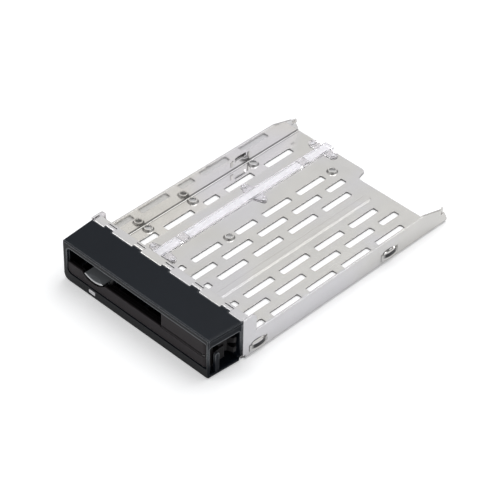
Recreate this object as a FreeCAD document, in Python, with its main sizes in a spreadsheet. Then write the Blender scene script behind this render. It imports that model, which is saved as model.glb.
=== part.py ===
"""Hot swap drive caddy: a folded steel tray with a moulded bezel, pull lever and light guide.

Millimetres. X runs across the caddy (right positive, seen from the front), Y from the bezel's
front face to the rear, Z up from the surface that the caddy lies on. The sizes below are
measured from the bezel's front face; every sub-part is then placed so that the frame's origin
is the middle of the caddy's footprint.
"""
import FreeCAD, Part
import math
import os
import Sketcher

SIZES = [
    # tray: one folded sheet
    ("sheet", 1.0, "thickness of the steel sheet"),
    ("bend", 0.7, "inside radius of the folds"),
    ("tray_width", 106.0, "outside width over the side walls"),
    ("tray_rear", 169.2, "rear edge of the floor"),
    ("wall_height", 14.6, "side walls"),
    ("ear_height", 25.8, "tall front ends of the side walls"),
    ("ear_depth", 8.9, "length of those front ends"),
    ("front_height", 24.8, "front wall, to the top of its lip"),
    ("lip_depth", 5.2, "folded-back lip, from the front wall's face"),
    ("taper_start", 150.0, "where the side walls start to slope down"),
    ("taper_end", 163.8, "where the slope ends"),
    ("taper_height", 10.6, "height of the walls at that end"),
    ("lead_in", 0.9, "how far the wall ends lean inwards"),
    ("rear_step", 7.5, "depth of the cut-back at the right of the rear edge"),
    ("rear_step_left", -0.4, "where that cut-back starts"),
    # vents: slots on a staggered grid
    ("vent_width", 4.0, "width of a vent slot"),
    ("vent_length", 19.8, "length of a full slot"),
    ("vent_pitch", 25.4, "slot to slot along a column"),
    ("vent_corner", 0.9, "corner radius of the slots"),
    ("column_pitch", 9.24, "column to column"),
    ("column_zero", 22.05, "middle of the reference column"),
    ("row_zero", 28.2, "front end of the first slot of a full column"),
    # stiffening bead between two vent columns
    ("bead_width", 5.0, "width of the raised bead"),
    ("bead_height", 0.6, "how far it stands up"),
    ("bead_front", 30.0, "front end of the bead"),
    ("bead_rear", 154.5, "rear end of the bead"),
    # drive screw positions
    ("big_row", 95.25, "spacing across of the 3.5 inch bottom holes"),
    ("big_long", 76.2, "first to last of those holes"),
    ("big_short", 31.75, "first to second of those holes"),
    ("big_first", 54.7, "first hole row from the bezel's face"),
    ("big_centre", -0.75, "middle of the 3.5 inch drive"),
    ("big_hole", 1.85, "hole radius"),
    ("small_row", 61.72, "spacing across of the 2.5 inch bottom holes"),
    ("small_long", 76.6, "spacing along of those holes"),
    ("small_first", 79.6, "first hole row from the bezel's face"),
    ("small_left", -15.0, "left hole row"),
    ("small_hole", 1.7, "hole radius"),
    ("boss_radius", 3.1, "foot of a raised screw boss"),
    ("boss_height", 1.3, "how far a boss stands up"),
    # light guide and its channel in the floor
    ("guide_left", -33.6, "left side of the clear bar"),
    ("guide_width", 5.4, "width of the bar"),
    ("guide_top", 2.2, "top of the bar over the floor"),
    ("guide_overhang", 2.3, "how far the bar stands out behind the floor"),
    ("guide_tip_width", 4.9, "width of the bar inside the bezel"),
    ("guide_tip_low", 1.65, "underside of the bar inside the bezel"),
    ("guide_tip_high", 4.4, "top of the bar inside the bezel"),
    ("channel_gap", 0.5, "side gap between bar and channel"),
    ("channel_front", 30.0, "front end of the channel"),
    ("bridge_front", 60.6, "front edge of the front bridge across the channel"),
    ("bridge_rear", 148.5, "front edge of the rear bridge"),
    ("bridge_length", 4.5, "length of a bridge"),
    ("ear_pair_front", 47.2, "middle of the front pair of fixing ears"),
    ("ear_pair_shift", 1.2, "how far that pair lies to the right of the bar's middle"),
    ("ear_pair_middle", 113.6, "middle of the second pair"),
    ("ear_pair_rear", 166.2, "middle of the rear pair"),
    ("peg_reach", 7.3, "fixing peg from the middle of the bar"),
    ("peg_radius", 1.15, "fixing peg"),
    # leaf springs in the side walls
    ("leaf", 0.3, "thickness of a guide spring"),
    ("leaf_tall", 3.4, "height of a guide spring"),
    ("leaf_low", 3.6, "its lower edge"),
    ("leaf_half", 5.75, "half of its span between the wall slots"),
    ("leaf_bow", 1.4, "how far it bows out of the wall"),
    ("leaf_front", 31.1, "middle of the front pair"),
    ("leaf_rear", 124.8, "middle of the rear pair"),
    # bezel housing
    ("bezel_depth", 20.8, "front face to rear face"),
    ("bezel_height", 24.8, "outside height"),
    ("bezel_wall", 1.6, "wall thickness"),
    ("bezel_face", 2.0, "thickness of the front wall"),
    ("front_left", -51.5, "left end of the front face"),
    ("edge_bevel", 0.6, "bevel around the front face"),
    ("front_right", 50.6, "right end of the front face"),
    ("rear_right", 52.2, "right end at the rear"),
    ("opening_left", -48.5, "left end of the front opening"),
    ("opening_right", 49.3, "right end of the front opening"),
    ("opening_low", 5.5, "lower edge of the front opening"),
    ("opening_high", 21.8, "upper edge of the front opening"),
    ("side_low", 2.2, "lower edge of the open right side"),
    ("side_high", 19.8, "upper edge of the open right side"),
    ("hook_pitch", 20.3, "snap tongue to snap tongue"),
    ("hook_centre", -0.8, "middle snap tongue"),
    ("hook_width", 5.7, "width of a snap tongue"),
    # screws that hold the bezel
    ("screw_radius", 1.2, "shank"),
    ("screw_length", 8.0, "under the head"),
    ("screw_level", 4.9, "height of the screws' axes"),
    ("screw_inset", 9.0, "left screw from the tray's left side"),
    ("screw_pitch", 36.0, "screw to screw"),
    # lever
    ("lever_set_back", 0.5, "lever face behind the bezel's face"),
    ("lever_plate", 2.2, "thickness of the lever's face"),
    ("lever_low", 5.9, "lower edge of the lever"),
    ("band_high", 12.2, "upper edge of the low band"),
    ("lever_high", 21.2, "upper edge of the tall block"),
    ("block_left", 18.2, "left end of the tall block"),
    ("lever_gap", 0.3, "gap at the lever's ends"),
    ("pivot_across", 46.1, "pivot axis across"),
    ("pivot_deep", 3.4, "pivot axis behind the bezel's face"),
    ("pin_radius", 1.25, "pivot pin"),
    ("running_gap", 0.05, "radial clearance of the lever on its pin"),
    ("arm_low", 6.3, "underside of the lever's rear arm"),
    ("arm_high", 13.4, "top of the lever's rear arm"),
    ("claw_low", 9.3, "underside of the steel claw"),
    ("claw_high", 18.2, "top of the steel claw"),
    # release button
    ("button_centre", -30.1, "middle of the button"),
    ("button_half", 6.5, "half of the tongue's width"),
    ("button_high", 12.0, "top of the tongue"),
    ("button_sag", 2.2, "depth of the tongue's curved underside"),
    ("button_front", 0.9, "front of the tongue"),
    ("stem_front", 8.2, "front of the button's stem"),
    ("stem_rear", 12.0, "rear of the button's stem"),
    ("button_travel", 0.8, "how far the button goes down"),
    ("scoop_gap", 1.2, "gap between the tongue and the scoop in the lever"),
    ("seat_high", 4.6, "spring seat under the button"),
]


class Size:
    """A length that keeps the spreadsheet expression it is worked out from."""

    def __init__(self, value, text):
        self.value = value
        self.text = text

    def __add__(self, other):
        other = as_size(other)
        return Size(self.value + other.value, "(%s + %s)" % (self.text, other.text))

    def __sub__(self, other):
        other = as_size(other)
        return Size(self.value - other.value, "(%s - %s)" % (self.text, other.text))

    def __mul__(self, other):
        other = as_size(other)
        return Size(self.value * other.value, "(%s * %s)" % (self.text, other.text))

    def __truediv__(self, other):
        other = as_size(other)
        return Size(self.value / other.value, "(%s / %s)" % (self.text, other.text))

    def __radd__(self, other):
        return as_size(other) + self

    def __rsub__(self, other):
        return as_size(other) - self

    def __rmul__(self, other):
        return as_size(other) * self

    def __neg__(self):
        return as_size(0) - self


def as_size(number):
    """Return the number as a Size; a Size is returned as it is."""
    if isinstance(number, Size):
        return number
    return Size(float(number), repr(float(number)))


class Sheet:
    """The spreadsheet of driving sizes; each alias reads as an attribute that is a Size."""

    def __init__(self, document, rows):
        self.cells = document.addObject("Spreadsheet::Sheet", "Sizes")
        for row, (alias, value, meaning) in enumerate(rows, start=1):
            self.cells.set("A%d" % row, meaning)
            self.cells.set("B%d" % row, str(value))
            self.cells.setAlias("B%d" % row, alias)
        document.recompute()

    def __getattr__(self, alias):
        return Size(float(self.cells.get(alias)), "Sizes." + alias)


document = FreeCAD.newDocument("drive_caddy")
size = Sheet(document, SIZES)
parts = []

TRAY_FRONT = size.bezel_depth
HALF_WIDTH = size.tray_width / 2
OVERALL_LENGTH = size.tray_rear + size.guide_overhang


# ---------------------------------------------------------------- drawing tools

def bind(thing, path, length):
    """Tie one property or constraint of a document object to a Size."""
    thing.setExpression(path, as_size(length).text)


def new_body(label):
    """Start a sub-part whose frame is centred on the caddy's footprint."""
    body = document.addObject("PartDesign::Body", label)
    body.Label = label
    bind(body, "Placement.Base.y", -OVERALL_LENGTH / 2)
    parts.append(body)
    return body


def new_sketch(body, plane, name, level=0.0):
    """Attach a sketch to one of the body's origin planes, at a level along that plane's axis."""
    sketch = body.newObject("Sketcher::SketchObject", name)
    support = [item for item in body.Origin.OriginFeatures if item.Role == plane + "_Plane"][0]
    sketch.AttachmentSupport = (support, [""])
    sketch.MapMode = "FlatFace"
    level = as_size(level)
    if plane == "XZ":
        level = -level
    bind(sketch, "AttachmentOffset.Base.z", level)
    return sketch


def held_at(sketch, held):
    """Hold ends of sketch elements in place; each entry is (element, end, (across, along))."""
    rules, places = [], []
    for element, end, point in held:
        for kind, place in zip(("DistanceX", "DistanceY"), point):
            place = as_size(place)
            rules.append(Sketcher.Constraint(kind, -1, 1, element, end, place.value))
            places.append(place)
    for number, place in zip(sketch.addConstraint(rules), places):
        bind(sketch, "Constraints[%d]" % number, place)


def flat(point):
    """A sketch point as a vector."""
    return FreeCAD.Vector(as_size(point[0]).value, as_size(point[1]).value, 0)


def arc_between(start, end, radius):
    """The arc from start to end; a positive radius bulges to the right of the way it is drawn."""
    chord = end - start
    middle = (start + end) / 2
    reach = abs(radius)
    rise = math.sqrt(max(0.0, reach * reach - chord.Length * chord.Length / 4))
    left = FreeCAD.Vector(-chord.y, chord.x, 0) / chord.Length
    turn = 1 if radius > 0 else -1
    centre = middle + left * (rise * turn)
    circle = Part.Circle(centre, FreeCAD.Vector(0, 0, 1), reach)
    first, last = (start, end) if radius > 0 else (end, start)
    return Part.ArcOfCircle(circle, circle.parameter(first), circle.parameter(last))


def outline(sketch, corners):
    """Draw a closed outline. A corner is (a, b), or (a, b, radius) where an arc leads to it."""
    shapes, bends = [], []
    for index, corner in enumerate(corners):
        start, end = flat(corners[index - 1]), flat(corner)
        bend = as_size(corner[2]) if len(corner) == 3 else None
        shapes.append(arc_between(start, end, bend.value) if bend else Part.LineSegment(start, end))
        bends.append(bend)
    elements = sketch.addGeometry(shapes, False)
    joins, held, radii = [], [], []
    for index, element in enumerate(elements):
        clockwise = bends[index] is not None and bends[index].value < 0
        last = 1 if clockwise else 2
        following = (index + 1) % len(elements)
        next_clockwise = bends[following] is not None and bends[following].value < 0
        joins.append(Sketcher.Constraint(
            "Coincident", element, last, elements[following], 2 if next_clockwise else 1))
        held.append((element, last, corners[index][:2]))
        if bends[index] is not None:
            radius = -bends[index] if clockwise else bends[index]
            radii.append((Sketcher.Constraint("Radius", element, radius.value), radius))
    sketch.addConstraint(joins)
    held_at(sketch, held)
    if radii:
        numbers = sketch.addConstraint([rule for rule, radius in radii])
        for number, (rule, radius) in zip(numbers, radii):
            bind(sketch, "Constraints[%d]" % number, radius)


def box_outline(sketch, left, right, low, high):
    """Draw a rectangle between two places along each axis of the sketch."""
    outline(sketch, [(left, low), (right, low), (right, high), (left, high)])


def rounded_outline(sketch, left, right, low, high, radius):
    """Draw a rectangle with four equal round corners."""
    rounded_corners(sketch, left, right, low, high, (radius, radius, radius, radius))


def rounded_corners(sketch, left, right, low, high, radii):
    """Draw a rectangle with round corners: low left, low right, high right, high left."""
    a, b, c, d = radii
    outline(sketch, [
        (left + a, low, as_size(a)), (right - b, low), (right, low + b, as_size(b)),
        (right, high - c), (right - c, high, as_size(c)), (left + d, high),
        (left, high - d, as_size(d)), (left, low + a)])


def ring(sketch, across, along, radius):
    """Draw a circle."""
    circle = Part.Circle(flat((across, along)), FreeCAD.Vector(0, 0, 1), as_size(radius).value)
    element = sketch.addGeometry(circle, False)
    number = sketch.addConstraint(Sketcher.Constraint("Radius", element, as_size(radius).value))
    bind(sketch, "Constraints[%d]" % number, radius)
    held_at(sketch, [(element, 3, (across, along))])


def raise_from(body, sketch, name, length, forwards=True, taper=0.0, kind="Pad"):
    """Pad or pocket a sketch along its plane's positive axis, or against it."""
    feature = body.newObject("PartDesign::" + kind, name)
    feature.Profile = sketch
    bind(feature, "Length", length)
    along_normal = forwards
    if "XZ_Plane" in sketch.AttachmentSupport[0][0].Role:
        along_normal = not along_normal
    if kind == "Pocket":
        along_normal = not along_normal
    feature.Reversed = not along_normal
    feature.TaperAngle = taper
    feature.Refine = False
    return feature


def cut_through(body, sketch, name):
    """Pocket a sketch through everything, both ways."""
    feature = body.newObject("PartDesign::Pocket", name)
    feature.Profile = sketch
    feature.Type = "ThroughAll"
    feature.Midplane = True
    return feature


def edges_at(feature, points):
    """The names of the edges that pass through the given points."""
    document.recompute()
    names = []
    for point in points:
        place = Part.Vertex(FreeCAD.Vector(*[as_size(value).value for value in point]))
        gaps = [edge.distToShape(place)[0] for edge in feature.Shape.Edges]
        names.append("Edge%d" % (gaps.index(min(gaps)) + 1))
    return names


def round_edges(body, feature, name, points, radius):
    """Fillet the edges that pass through the given points."""
    fillet = body.newObject("PartDesign::Fillet", name)
    fillet.Base = (feature, edges_at(feature, points))
    bind(fillet, "Radius", radius)
    return fillet


def bevel_edges(body, feature, name, points, width):
    """Chamfer the edges that pass through the given points."""
    chamfer = body.newObject("PartDesign::Chamfer", name)
    chamfer.Base = (feature, edges_at(feature, points))
    bind(chamfer, "Size", width)
    return chamfer


# ---------------------------------------------------------------- tray

def big_holes():
    """Places of the six 3.5 inch holes."""
    rows = (size.big_first, size.big_first + size.big_short, size.big_first + size.big_long)
    return [(size.big_centre + size.big_row * side / 2, row) for side in (-1, 1) for row in rows]


def small_holes():
    """Places of the four 2.5 inch holes."""
    rows = (size.small_first, size.small_first + size.small_long)
    return [(size.small_left + across, row) for across in (as_size(0), size.small_row) for row in rows]


def hook_places():
    """Middle of every snap tongue."""
    return [size.hook_centre + size.hook_pitch * step for step in (-2, -1, 0, 1, 2)]


def screw_places():
    """Name and place across of each bezel screw."""
    first = size.screw_inset - HALF_WIDTH
    return {"left": first, "middle": first + size.screw_pitch, "right": first + size.screw_pitch * 2}


def make_tray():
    body = new_body("tray")
    inner = HALF_WIDTH - size.sheet
    fold = size.bend + size.sheet
    floor_front = TRAY_FRONT + fold + 0.3

    section = new_sketch(body, "XZ", "tray_section", floor_front)
    outline(section, [
        (-HALF_WIDTH, 0), (HALF_WIDTH, 0), (HALF_WIDTH, size.ear_height), (inner, size.ear_height),
        (inner, size.sheet), (-inner, size.sheet), (-inner, size.ear_height),
        (-HALF_WIDTH, size.ear_height)])
    channel = raise_from(body, section, "tray_channel", size.tray_rear - floor_front)
    middle = (floor_front + size.tray_rear) / 2
    outer = round_edges(body, channel, "tray_outer_folds",
                        [(-HALF_WIDTH, middle, 0), (HALF_WIDTH, middle, 0)], fold)
    inside = round_edges(body, outer, "tray_inner_folds",
                         [(-inner, middle, size.sheet), (inner, middle, size.sheet)], size.bend)

    ear_rear = TRAY_FRONT + size.ear_depth
    step_low = size.taper_height - 3.4
    profile = new_sketch(body, "YZ", "wall_profile")
    above = size.ear_height + 5
    outline(profile, [
        (ear_rear, above), (ear_rear, size.wall_height), (size.taper_start, size.wall_height),
        (size.taper_end, size.taper_height), (size.taper_end, step_low), (size.tray_rear - 2.2, step_low),
        (size.tray_rear, step_low - 4.6), (size.tray_rear + 1, step_low - 4.6), (size.tray_rear + 1, above)])
    cut_through(body, profile, "wall_cut")

    front = new_sketch(body, "YZ", "front_section")
    lip_rear = TRAY_FRONT + size.lip_depth
    top_inner = size.front_height - size.sheet
    outline(front, [
        (TRAY_FRONT, 0), (floor_front + 1, 0), (floor_front + 1, size.sheet),
        (TRAY_FRONT + size.sheet, size.sheet), (TRAY_FRONT + size.sheet, top_inner),
        (lip_rear, top_inner), (lip_rear, size.front_height), (TRAY_FRONT, size.front_height)])
    wall = body.newObject("PartDesign::Pad", "front_wall")
    wall.Profile = front
    wall.Midplane = True
    bind(wall, "Length", (inner - 0.8) * 2)
    round_edges(body, wall, "front_outer_folds",
                [(0, TRAY_FRONT, 0), (0, TRAY_FRONT, size.front_height)], fold - 0.3)
    document.recompute()
    round_edges(body, body.Tip, "front_inner_folds",
                [(0, TRAY_FRONT + size.sheet, size.sheet), (0, TRAY_FRONT + size.sheet, top_inner)],
                size.bend - 0.3)

    relief = 3.2
    for side, label in ((-1, "left"), (1, "right")):
        ear = new_sketch(body, "YZ", "ear_edge_" + label, HALF_WIDTH * side)
        box_outline(ear, TRAY_FRONT, floor_front + 0.5, relief, size.ear_height)
        raise_from(body, ear, "ear_front_" + label, size.sheet, forwards=side < 0)
    document.recompute()
    round_edges(body, body.Tip, "ear_corners",
                [(-HALF_WIDTH + size.sheet / 2, ear_rear, size.ear_height),
                 (HALF_WIDTH - size.sheet / 2, ear_rear, size.ear_height)], 3.0)

    for side, label in ((-1, "left"), (1, "right")):
        lean = new_sketch(body, "XY", "lead_in_" + label, step_low + 0.8)
        face = HALF_WIDTH * side
        back = size.taper_end + 2.9
        outline(lean, [
            (face, size.taper_end - 0.6), (face, size.taper_end),
            (face - size.lead_in * side, back), (face - (size.lead_in + size.sheet) * side, back),
            (face - size.sheet * side, size.taper_end), (face - size.sheet * side, size.taper_end - 0.6)])
        raise_from(body, lean, "lead_in_flap_" + label, size.taper_height - step_low - 1.3)

    cut_back = new_sketch(body, "XY", "rear_outline", -1)
    deep = size.tray_rear - size.rear_step
    corner = size.rear_step_left
    outline(cut_back, [
        (corner - 1.6, size.tray_rear - 5.6, as_size(-2.6)), (corner - 2.4, size.tray_rear - 2.6),
        (corner - 4.9, size.tray_rear, as_size(2.6)), (corner - 4.9, size.tray_rear + 3),
        (inner - 0.9, size.tray_rear + 3), (inner - 0.9, deep), (corner + 0.2, deep)])
    raise_from(body, cut_back, "rear_cut", 3, kind="Pocket")

    make_bead(body)
    make_bosses(body)
    make_wall_cuts(body, inner)
    make_front_cuts(body)
    make_channel(body)
    make_vents(body)
    return body


def make_bead(body):
    """The stiffening bead: a raised ridge with a hollow underneath."""
    centre = size.column_zero - size.column_pitch
    slope = 45.0
    ridge = new_sketch(body, "XY", "bead_ridge", size.sheet)
    half = size.bead_width / 2
    rounded_outline(ridge, centre - half, centre + half, size.bead_front, size.bead_rear, size.bead_width * 0.4)
    raise_from(body, ridge, "bead", size.bead_height, taper=-slope)
    hollow = new_sketch(body, "XY", "bead_hollow_outline", 0)
    half = size.bead_width / 2 - 0.5
    rounded_outline(hollow, centre - half, centre + half, size.bead_front + 0.5, size.bead_rear - 0.5,
                    size.bead_width * 0.3)
    raise_from(body, hollow, "bead_hollow", size.bead_height, taper=-slope, kind="Pocket")


def make_bosses(body):
    """Raised screw bosses with a dimple underneath and a hole through each."""
    places = big_holes() + small_holes()
    feet = new_sketch(body, "XY", "boss_feet", size.sheet)
    for across, along in places:
        ring(feet, across, along, size.boss_radius)
    raise_from(body, feet, "bosses", size.boss_height, taper=-30.0)
    dimples = new_sketch(body, "XY", "boss_dimple_rims", 0)
    for across, along in places:
        ring(dimples, across, along, size.boss_radius - 0.15)
    raise_from(body, dimples, "boss_dimples", size.boss_height, taper=-30.0, kind="Pocket")
    holes = new_sketch(body, "XY", "drive_hole_rims", 0)
    for across, along in big_holes():
        ring(holes, across, along, size.big_hole)
    for across, along in small_holes():
        ring(holes, across, along, size.small_hole)
    raise_from(body, holes, "drive_holes", 6, kind="Pocket")


def slot_at(sketch, column, front, length):
    """Draw one vent slot in the numbered column."""
    middle = size.column_zero + size.column_pitch * column
    half = size.vent_width / 2
    rounded_outline(sketch, middle - half, middle + half, front, front + length, size.vent_corner)


def slot_row(body, name, columns, front, count):
    """Cut a row of equal slots and repeat it along the floor."""
    sketch = new_sketch(body, "XY", name + "_outline", 0)
    for column in columns:
        slot_at(sketch, column, front, size.vent_length)
    cut = raise_from(body, sketch, name, 6, kind="Pocket")
    document.recompute()
    pattern = body.newObject("PartDesign::LinearPattern", name + "_pattern")
    pattern.Originals = [cut]
    axis = [item for item in body.Origin.OriginFeatures if item.Role == "Y_Axis"][0]
    pattern.Direction = (axis, [""])
    pattern.Occurrences = count
    bind(pattern, "Length", size.vent_pitch * (count - 1))
    body.Tip = pattern


def make_vents(body):
    """Staggered rows of vent slots, and the shorter slots that leave room for bosses."""
    shifted = size.row_zero + size.vent_pitch / 2
    slot_row(body, "vents", (2, 0, -2), size.row_zero, 5)
    slot_row(body, "shifted_vents", (1, -3), shifted, 4)

    short = new_sketch(body, "XY", "short_vent_outlines", 0)
    for column in (1, -3):
        slot_at(short, column, shifted + size.vent_pitch * 4, size.vent_length * 0.65)
    for row in (0, 1, 3, 4):
        slot_at(short, -4, size.row_zero + size.vent_pitch * row, size.vent_length)
    past_boss = size.small_first + size.boss_radius + 1.8
    slot_at(short, -4, past_boss, size.row_zero + size.vent_pitch * 2 + size.vent_length - past_boss)
    raise_from(body, short, "short_vents", 6, kind="Pocket")

    edge = new_sketch(body, "XY", "edge_vent_outlines", 0)
    for offset, share in ((-18.8, 1.0), (6.6, 1.0), (34.7, 0.5), (50.3, 1.0), (79.7, 1.0)):
        slot_at(edge, -7, size.big_first + offset, size.vent_length * share)
    raise_from(body, edge, "edge_vents", 6, kind="Pocket")


def guide_middle():
    """Middle of the light guide across the caddy."""
    return size.guide_left + size.guide_width / 2


def ear_pairs():
    """Middle of each pair of fixing ears, as (across, along)."""
    middle = guide_middle()
    return ((middle + size.ear_pair_shift, size.ear_pair_front), (middle, size.ear_pair_middle),
            (middle, size.ear_pair_rear))


def make_channel(body):
    """The slot in which the light guide lies, crossed by two bridges, and its peg holes."""
    sketch = new_sketch(body, "XY", "channel_outline", 0)
    left = size.guide_left - size.channel_gap
    right = size.guide_left + size.guide_width + size.channel_gap
    box_outline(sketch, left, right, TRAY_FRONT + 3.0, size.bridge_front)
    box_outline(sketch, left, right, size.bridge_front + size.bridge_length, size.bridge_rear)
    box_outline(sketch, left, right, size.bridge_rear + size.bridge_length, size.tray_rear + 3)
    for centre, along in ear_pairs():
        for side in (-1, 1):
            ring(sketch, centre + size.peg_reach * side, along, size.peg_radius + 0.1)
    raise_from(body, sketch, "channel", 6, kind="Pocket")


def make_wall_cuts(body, inner):
    """Windows and slots for the leaf springs, and the notches in the bottom edges."""
    windows = new_sketch(body, "YZ", "spring_windows")
    slot = 0.9
    for middle in (size.leaf_front, size.leaf_rear):
        for side in (-1, 1):
            place = middle + size.leaf_half * side
            box_outline(windows, place - slot / 2, place + slot / 2, size.leaf_low - 0.3,
                        size.leaf_low + size.leaf_tall + 0.4)
        rounded_outline(windows, middle - 4.0, middle + 4.2, size.leaf_low + 1.8, size.leaf_low + 4.5, 0.8)
    cut_through(body, windows, "spring_cuts")

    for side, label in ((-1, "left"), (1, "right")):
        sketch = new_sketch(body, "XY", "edge_notches_" + label, -1)
        near, far = (inner - 0.45) * side, (HALF_WIDTH + 1) * side
        first, last = (near, far) if side > 0 else (far, near)
        rows = ((size.big_first, 3.2), (size.small_first + 2.0, 6.5),
                (size.big_first + size.big_long - 1.4, 3.4),
                (size.small_first + size.small_long - 3.6, 5.5))
        for middle, half in rows:
            box_outline(sketch, first, last, middle - half, middle + half)
        raise_from(body, sketch, "notches_" + label, 1.9, kind="Pocket")


def make_front_cuts(body):
    """Snap tongue windows, the light guide's notch and the bezel's screw holes."""
    lip_rear = TRAY_FRONT + size.lip_depth
    patches = new_sketch(body, "XY", "hook_patches", size.front_height - 0.1)
    slits = new_sketch(body, "XY", "hook_slits", size.front_height - 1.5)
    tops = new_sketch(body, "XZ", "hook_windows", TRAY_FRONT - 0.5)
    unders = new_sketch(body, "XZ", "hook_ways", TRAY_FRONT - 0.5)
    half = size.hook_width / 2 + 0.15
    for middle in hook_places():
        box_outline(patches, middle - half, middle + half, TRAY_FRONT + 1.9, lip_rear - 1.9)
        box_outline(slits, middle - half, middle + half, lip_rear - 1.9, lip_rear - 1.1)
        box_outline(tops, middle - half, middle + half, size.front_height - 2.6, size.front_height + 1)
        box_outline(unders, middle - half, middle + half, size.front_height - 2.6,
                    size.front_height - size.sheet + 0.05)
    raise_from(body, patches, "hook_covers", 0.4)
    raise_from(body, slits, "slits", 4, kind="Pocket")
    raise_from(body, tops, "hook_notches", 2.1, kind="Pocket")
    raise_from(body, unders, "hook_openings", 2.3, kind="Pocket")

    front = new_sketch(body, "XZ", "front_holes", TRAY_FRONT - 0.5)
    left = size.guide_left - size.channel_gap
    box_outline(front, left, size.guide_left + size.guide_width + size.channel_gap, size.sheet,
                size.guide_tip_high + 0.4)
    for across in screw_places().values():
        ring(front, across, size.screw_level, size.screw_radius + 0.15)
    raise_from(body, front, "front_hole_cuts", 3.2, kind="Pocket")


# ---------------------------------------------------------------- bezel housing

def make_bezel_housing():
    body = new_body("bezel_housing")
    bevel = size.edge_bevel
    face = new_sketch(body, "XZ", "front_outline", 0)
    rounded_corners(face, size.front_left + bevel, size.front_right - bevel, bevel,
                    size.bezel_height - bevel, (3.4, 0.9, 0.3, 0.7))
    brim = new_sketch(body, "XZ", "brim_outline", bevel)
    rounded_corners(brim, size.front_left, size.front_right, 0, size.bezel_height, (4.0, 1.5, 0.9, 1.3))
    back = new_sketch(body, "XZ", "rear_outline", size.bezel_depth)
    rounded_corners(back, -HALF_WIDTH, size.rear_right, 0, size.bezel_height, (4.0, 1.5, 0.9, 1.3))
    shell = body.newObject("PartDesign::AdditiveLoft", "shell")
    shell.Profile = face
    shell.Sections = [brim, back]
    shell.Ruled = True
    document.recompute()

    wall = size.bezel_wall
    rear_wall = size.bezel_depth - wall
    hollow_front = new_sketch(body, "XZ", "hollow_front", size.bezel_face)
    share = size.bezel_face / size.bezel_depth
    lean = (HALF_WIDTH + size.front_left) * share
    rounded_corners(hollow_front, size.front_left + wall - lean, size.front_right - wall, wall,
                    size.bezel_height - wall, (2.4, 1.0, 1.0, 1.2))
    hollow_rear = new_sketch(body, "XZ", "hollow_rear", rear_wall)
    rounded_corners(hollow_rear, -HALF_WIDTH + wall, size.rear_right - wall, wall,
                    size.bezel_height - wall, (2.4, 1.0, 1.0, 1.2))
    hollow = body.newObject("PartDesign::SubtractiveLoft", "hollow")
    hollow.Profile = hollow_front
    hollow.Sections = [hollow_rear]
    document.recompute()

    opening = new_sketch(body, "XZ", "front_opening_outline", -1)
    rounded_corners(opening, size.opening_left, size.opening_right, size.opening_low, size.opening_high,
                    (2.9, 1.0, 1.0, 2.9))
    raise_from(body, opening, "front_opening", size.bezel_face + 1.5, kind="Pocket")
    side = new_sketch(body, "YZ", "side_opening_outline", 48)
    rounded_outline(side, 0.9, rear_wall + 0.4, size.side_low, size.side_high, 1.2)
    raise_from(body, side, "side_opening", 8, kind="Pocket")
    corner = new_sketch(body, "YZ", "rear_corner_outline", 50.6)
    box_outline(corner, rear_wall, size.bezel_depth + 1, -1, 3.3)
    raise_from(body, corner, "rear_corner", 5, kind="Pocket")
    shadow_line = new_sketch(body, "XY", "shadow_line_outline", size.side_high + 3.7)
    outline(shadow_line, [
        (size.front_right - 0.35, 1.0), (size.front_right + 4, 1.0), (size.front_right + 4, 22),
        (size.rear_right - 0.25, 22)])
    raise_from(body, shadow_line, "shadow_line", 0.5, kind="Pocket")

    add_pivot_bosses(body, wall)
    add_housing_ribs(body, wall, rear_wall)
    add_screw_bosses(body, rear_wall)
    add_guide_way(body, rear_wall)
    add_hooks(body)
    return body


def add_pivot_bosses(body, wall):
    """Bosses above and below the lever's knuckle, bored for the pin, and the side post."""
    lower = new_sketch(body, "XY", "lower_boss", wall - 0.2)
    ring(lower, size.pivot_across, size.pivot_deep, 2.7)
    raise_from(body, lower, "lower_pivot_boss", size.lever_low - size.lever_gap - wall + 0.2)
    upper = new_sketch(body, "XY", "upper_boss", size.lever_high + size.lever_gap)
    ring(upper, size.pivot_across, size.pivot_deep, 2.7)
    raise_from(body, upper, "upper_pivot_boss",
               size.bezel_height - wall + 0.2 - size.lever_high - size.lever_gap)
    bore = new_sketch(body, "XY", "pin_bore_rim", -1)
    ring(bore, size.pivot_across, size.pivot_deep, size.pin_radius)
    raise_from(body, bore, "pin_bore", size.bezel_height - 0.8, kind="Pocket")

    post = new_sketch(body, "YZ", "post_outline", size.opening_right + 0.1)
    left, right = as_size(4.4), as_size(7.2)
    outline(post, [(left, wall - 0.2), (right, wall - 0.2), (right, 12.6), (left, 12.6, as_size(1.42))])
    raise_from(body, post, "side_post", 1.4)


def add_housing_ribs(body, wall, rear_wall):
    """Stop ribs behind the lever, and the button's two grooved guides with its spring seat."""
    ribs = new_sketch(body, "XY", "stop_rib_outlines", wall - 0.2)
    for left in (-45.6, -19.0, -1.0, 14.0):
        box_outline(ribs, left, left + 1.6, 6.3, rear_wall + 0.2)
    raise_from(body, ribs, "stop_ribs", 7.4)

    middle = size.button_centre
    slide = new_sketch(body, "XY", "button_guide_outlines", wall - 0.2)
    inner_half, groove_half, outer_half = as_size(6.1), as_size(6.9), as_size(8.1)
    front = size.stem_front + 0.2
    for side in (-1, 1):
        outline(slide, [
            (middle + inner_half * side, front), (middle + outer_half * side, front),
            (middle + outer_half * side, rear_wall + 0.2), (middle + inner_half * side, rear_wall + 0.2),
            (middle + inner_half * side, front + 2.6), (middle + groove_half * side, front + 2.6),
            (middle + groove_half * side, front + 1.2), (middle + inner_half * side, front + 1.2)])
    raise_from(body, slide, "button_guides", 10.9)
    seat = new_sketch(body, "XY", "seat_outline", size.seat_high - 1.0)
    box_outline(seat, middle - outer_half, middle + outer_half, front, size.stem_rear + 0.6)
    raise_from(body, seat, "spring_seat", 1.0)


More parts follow.
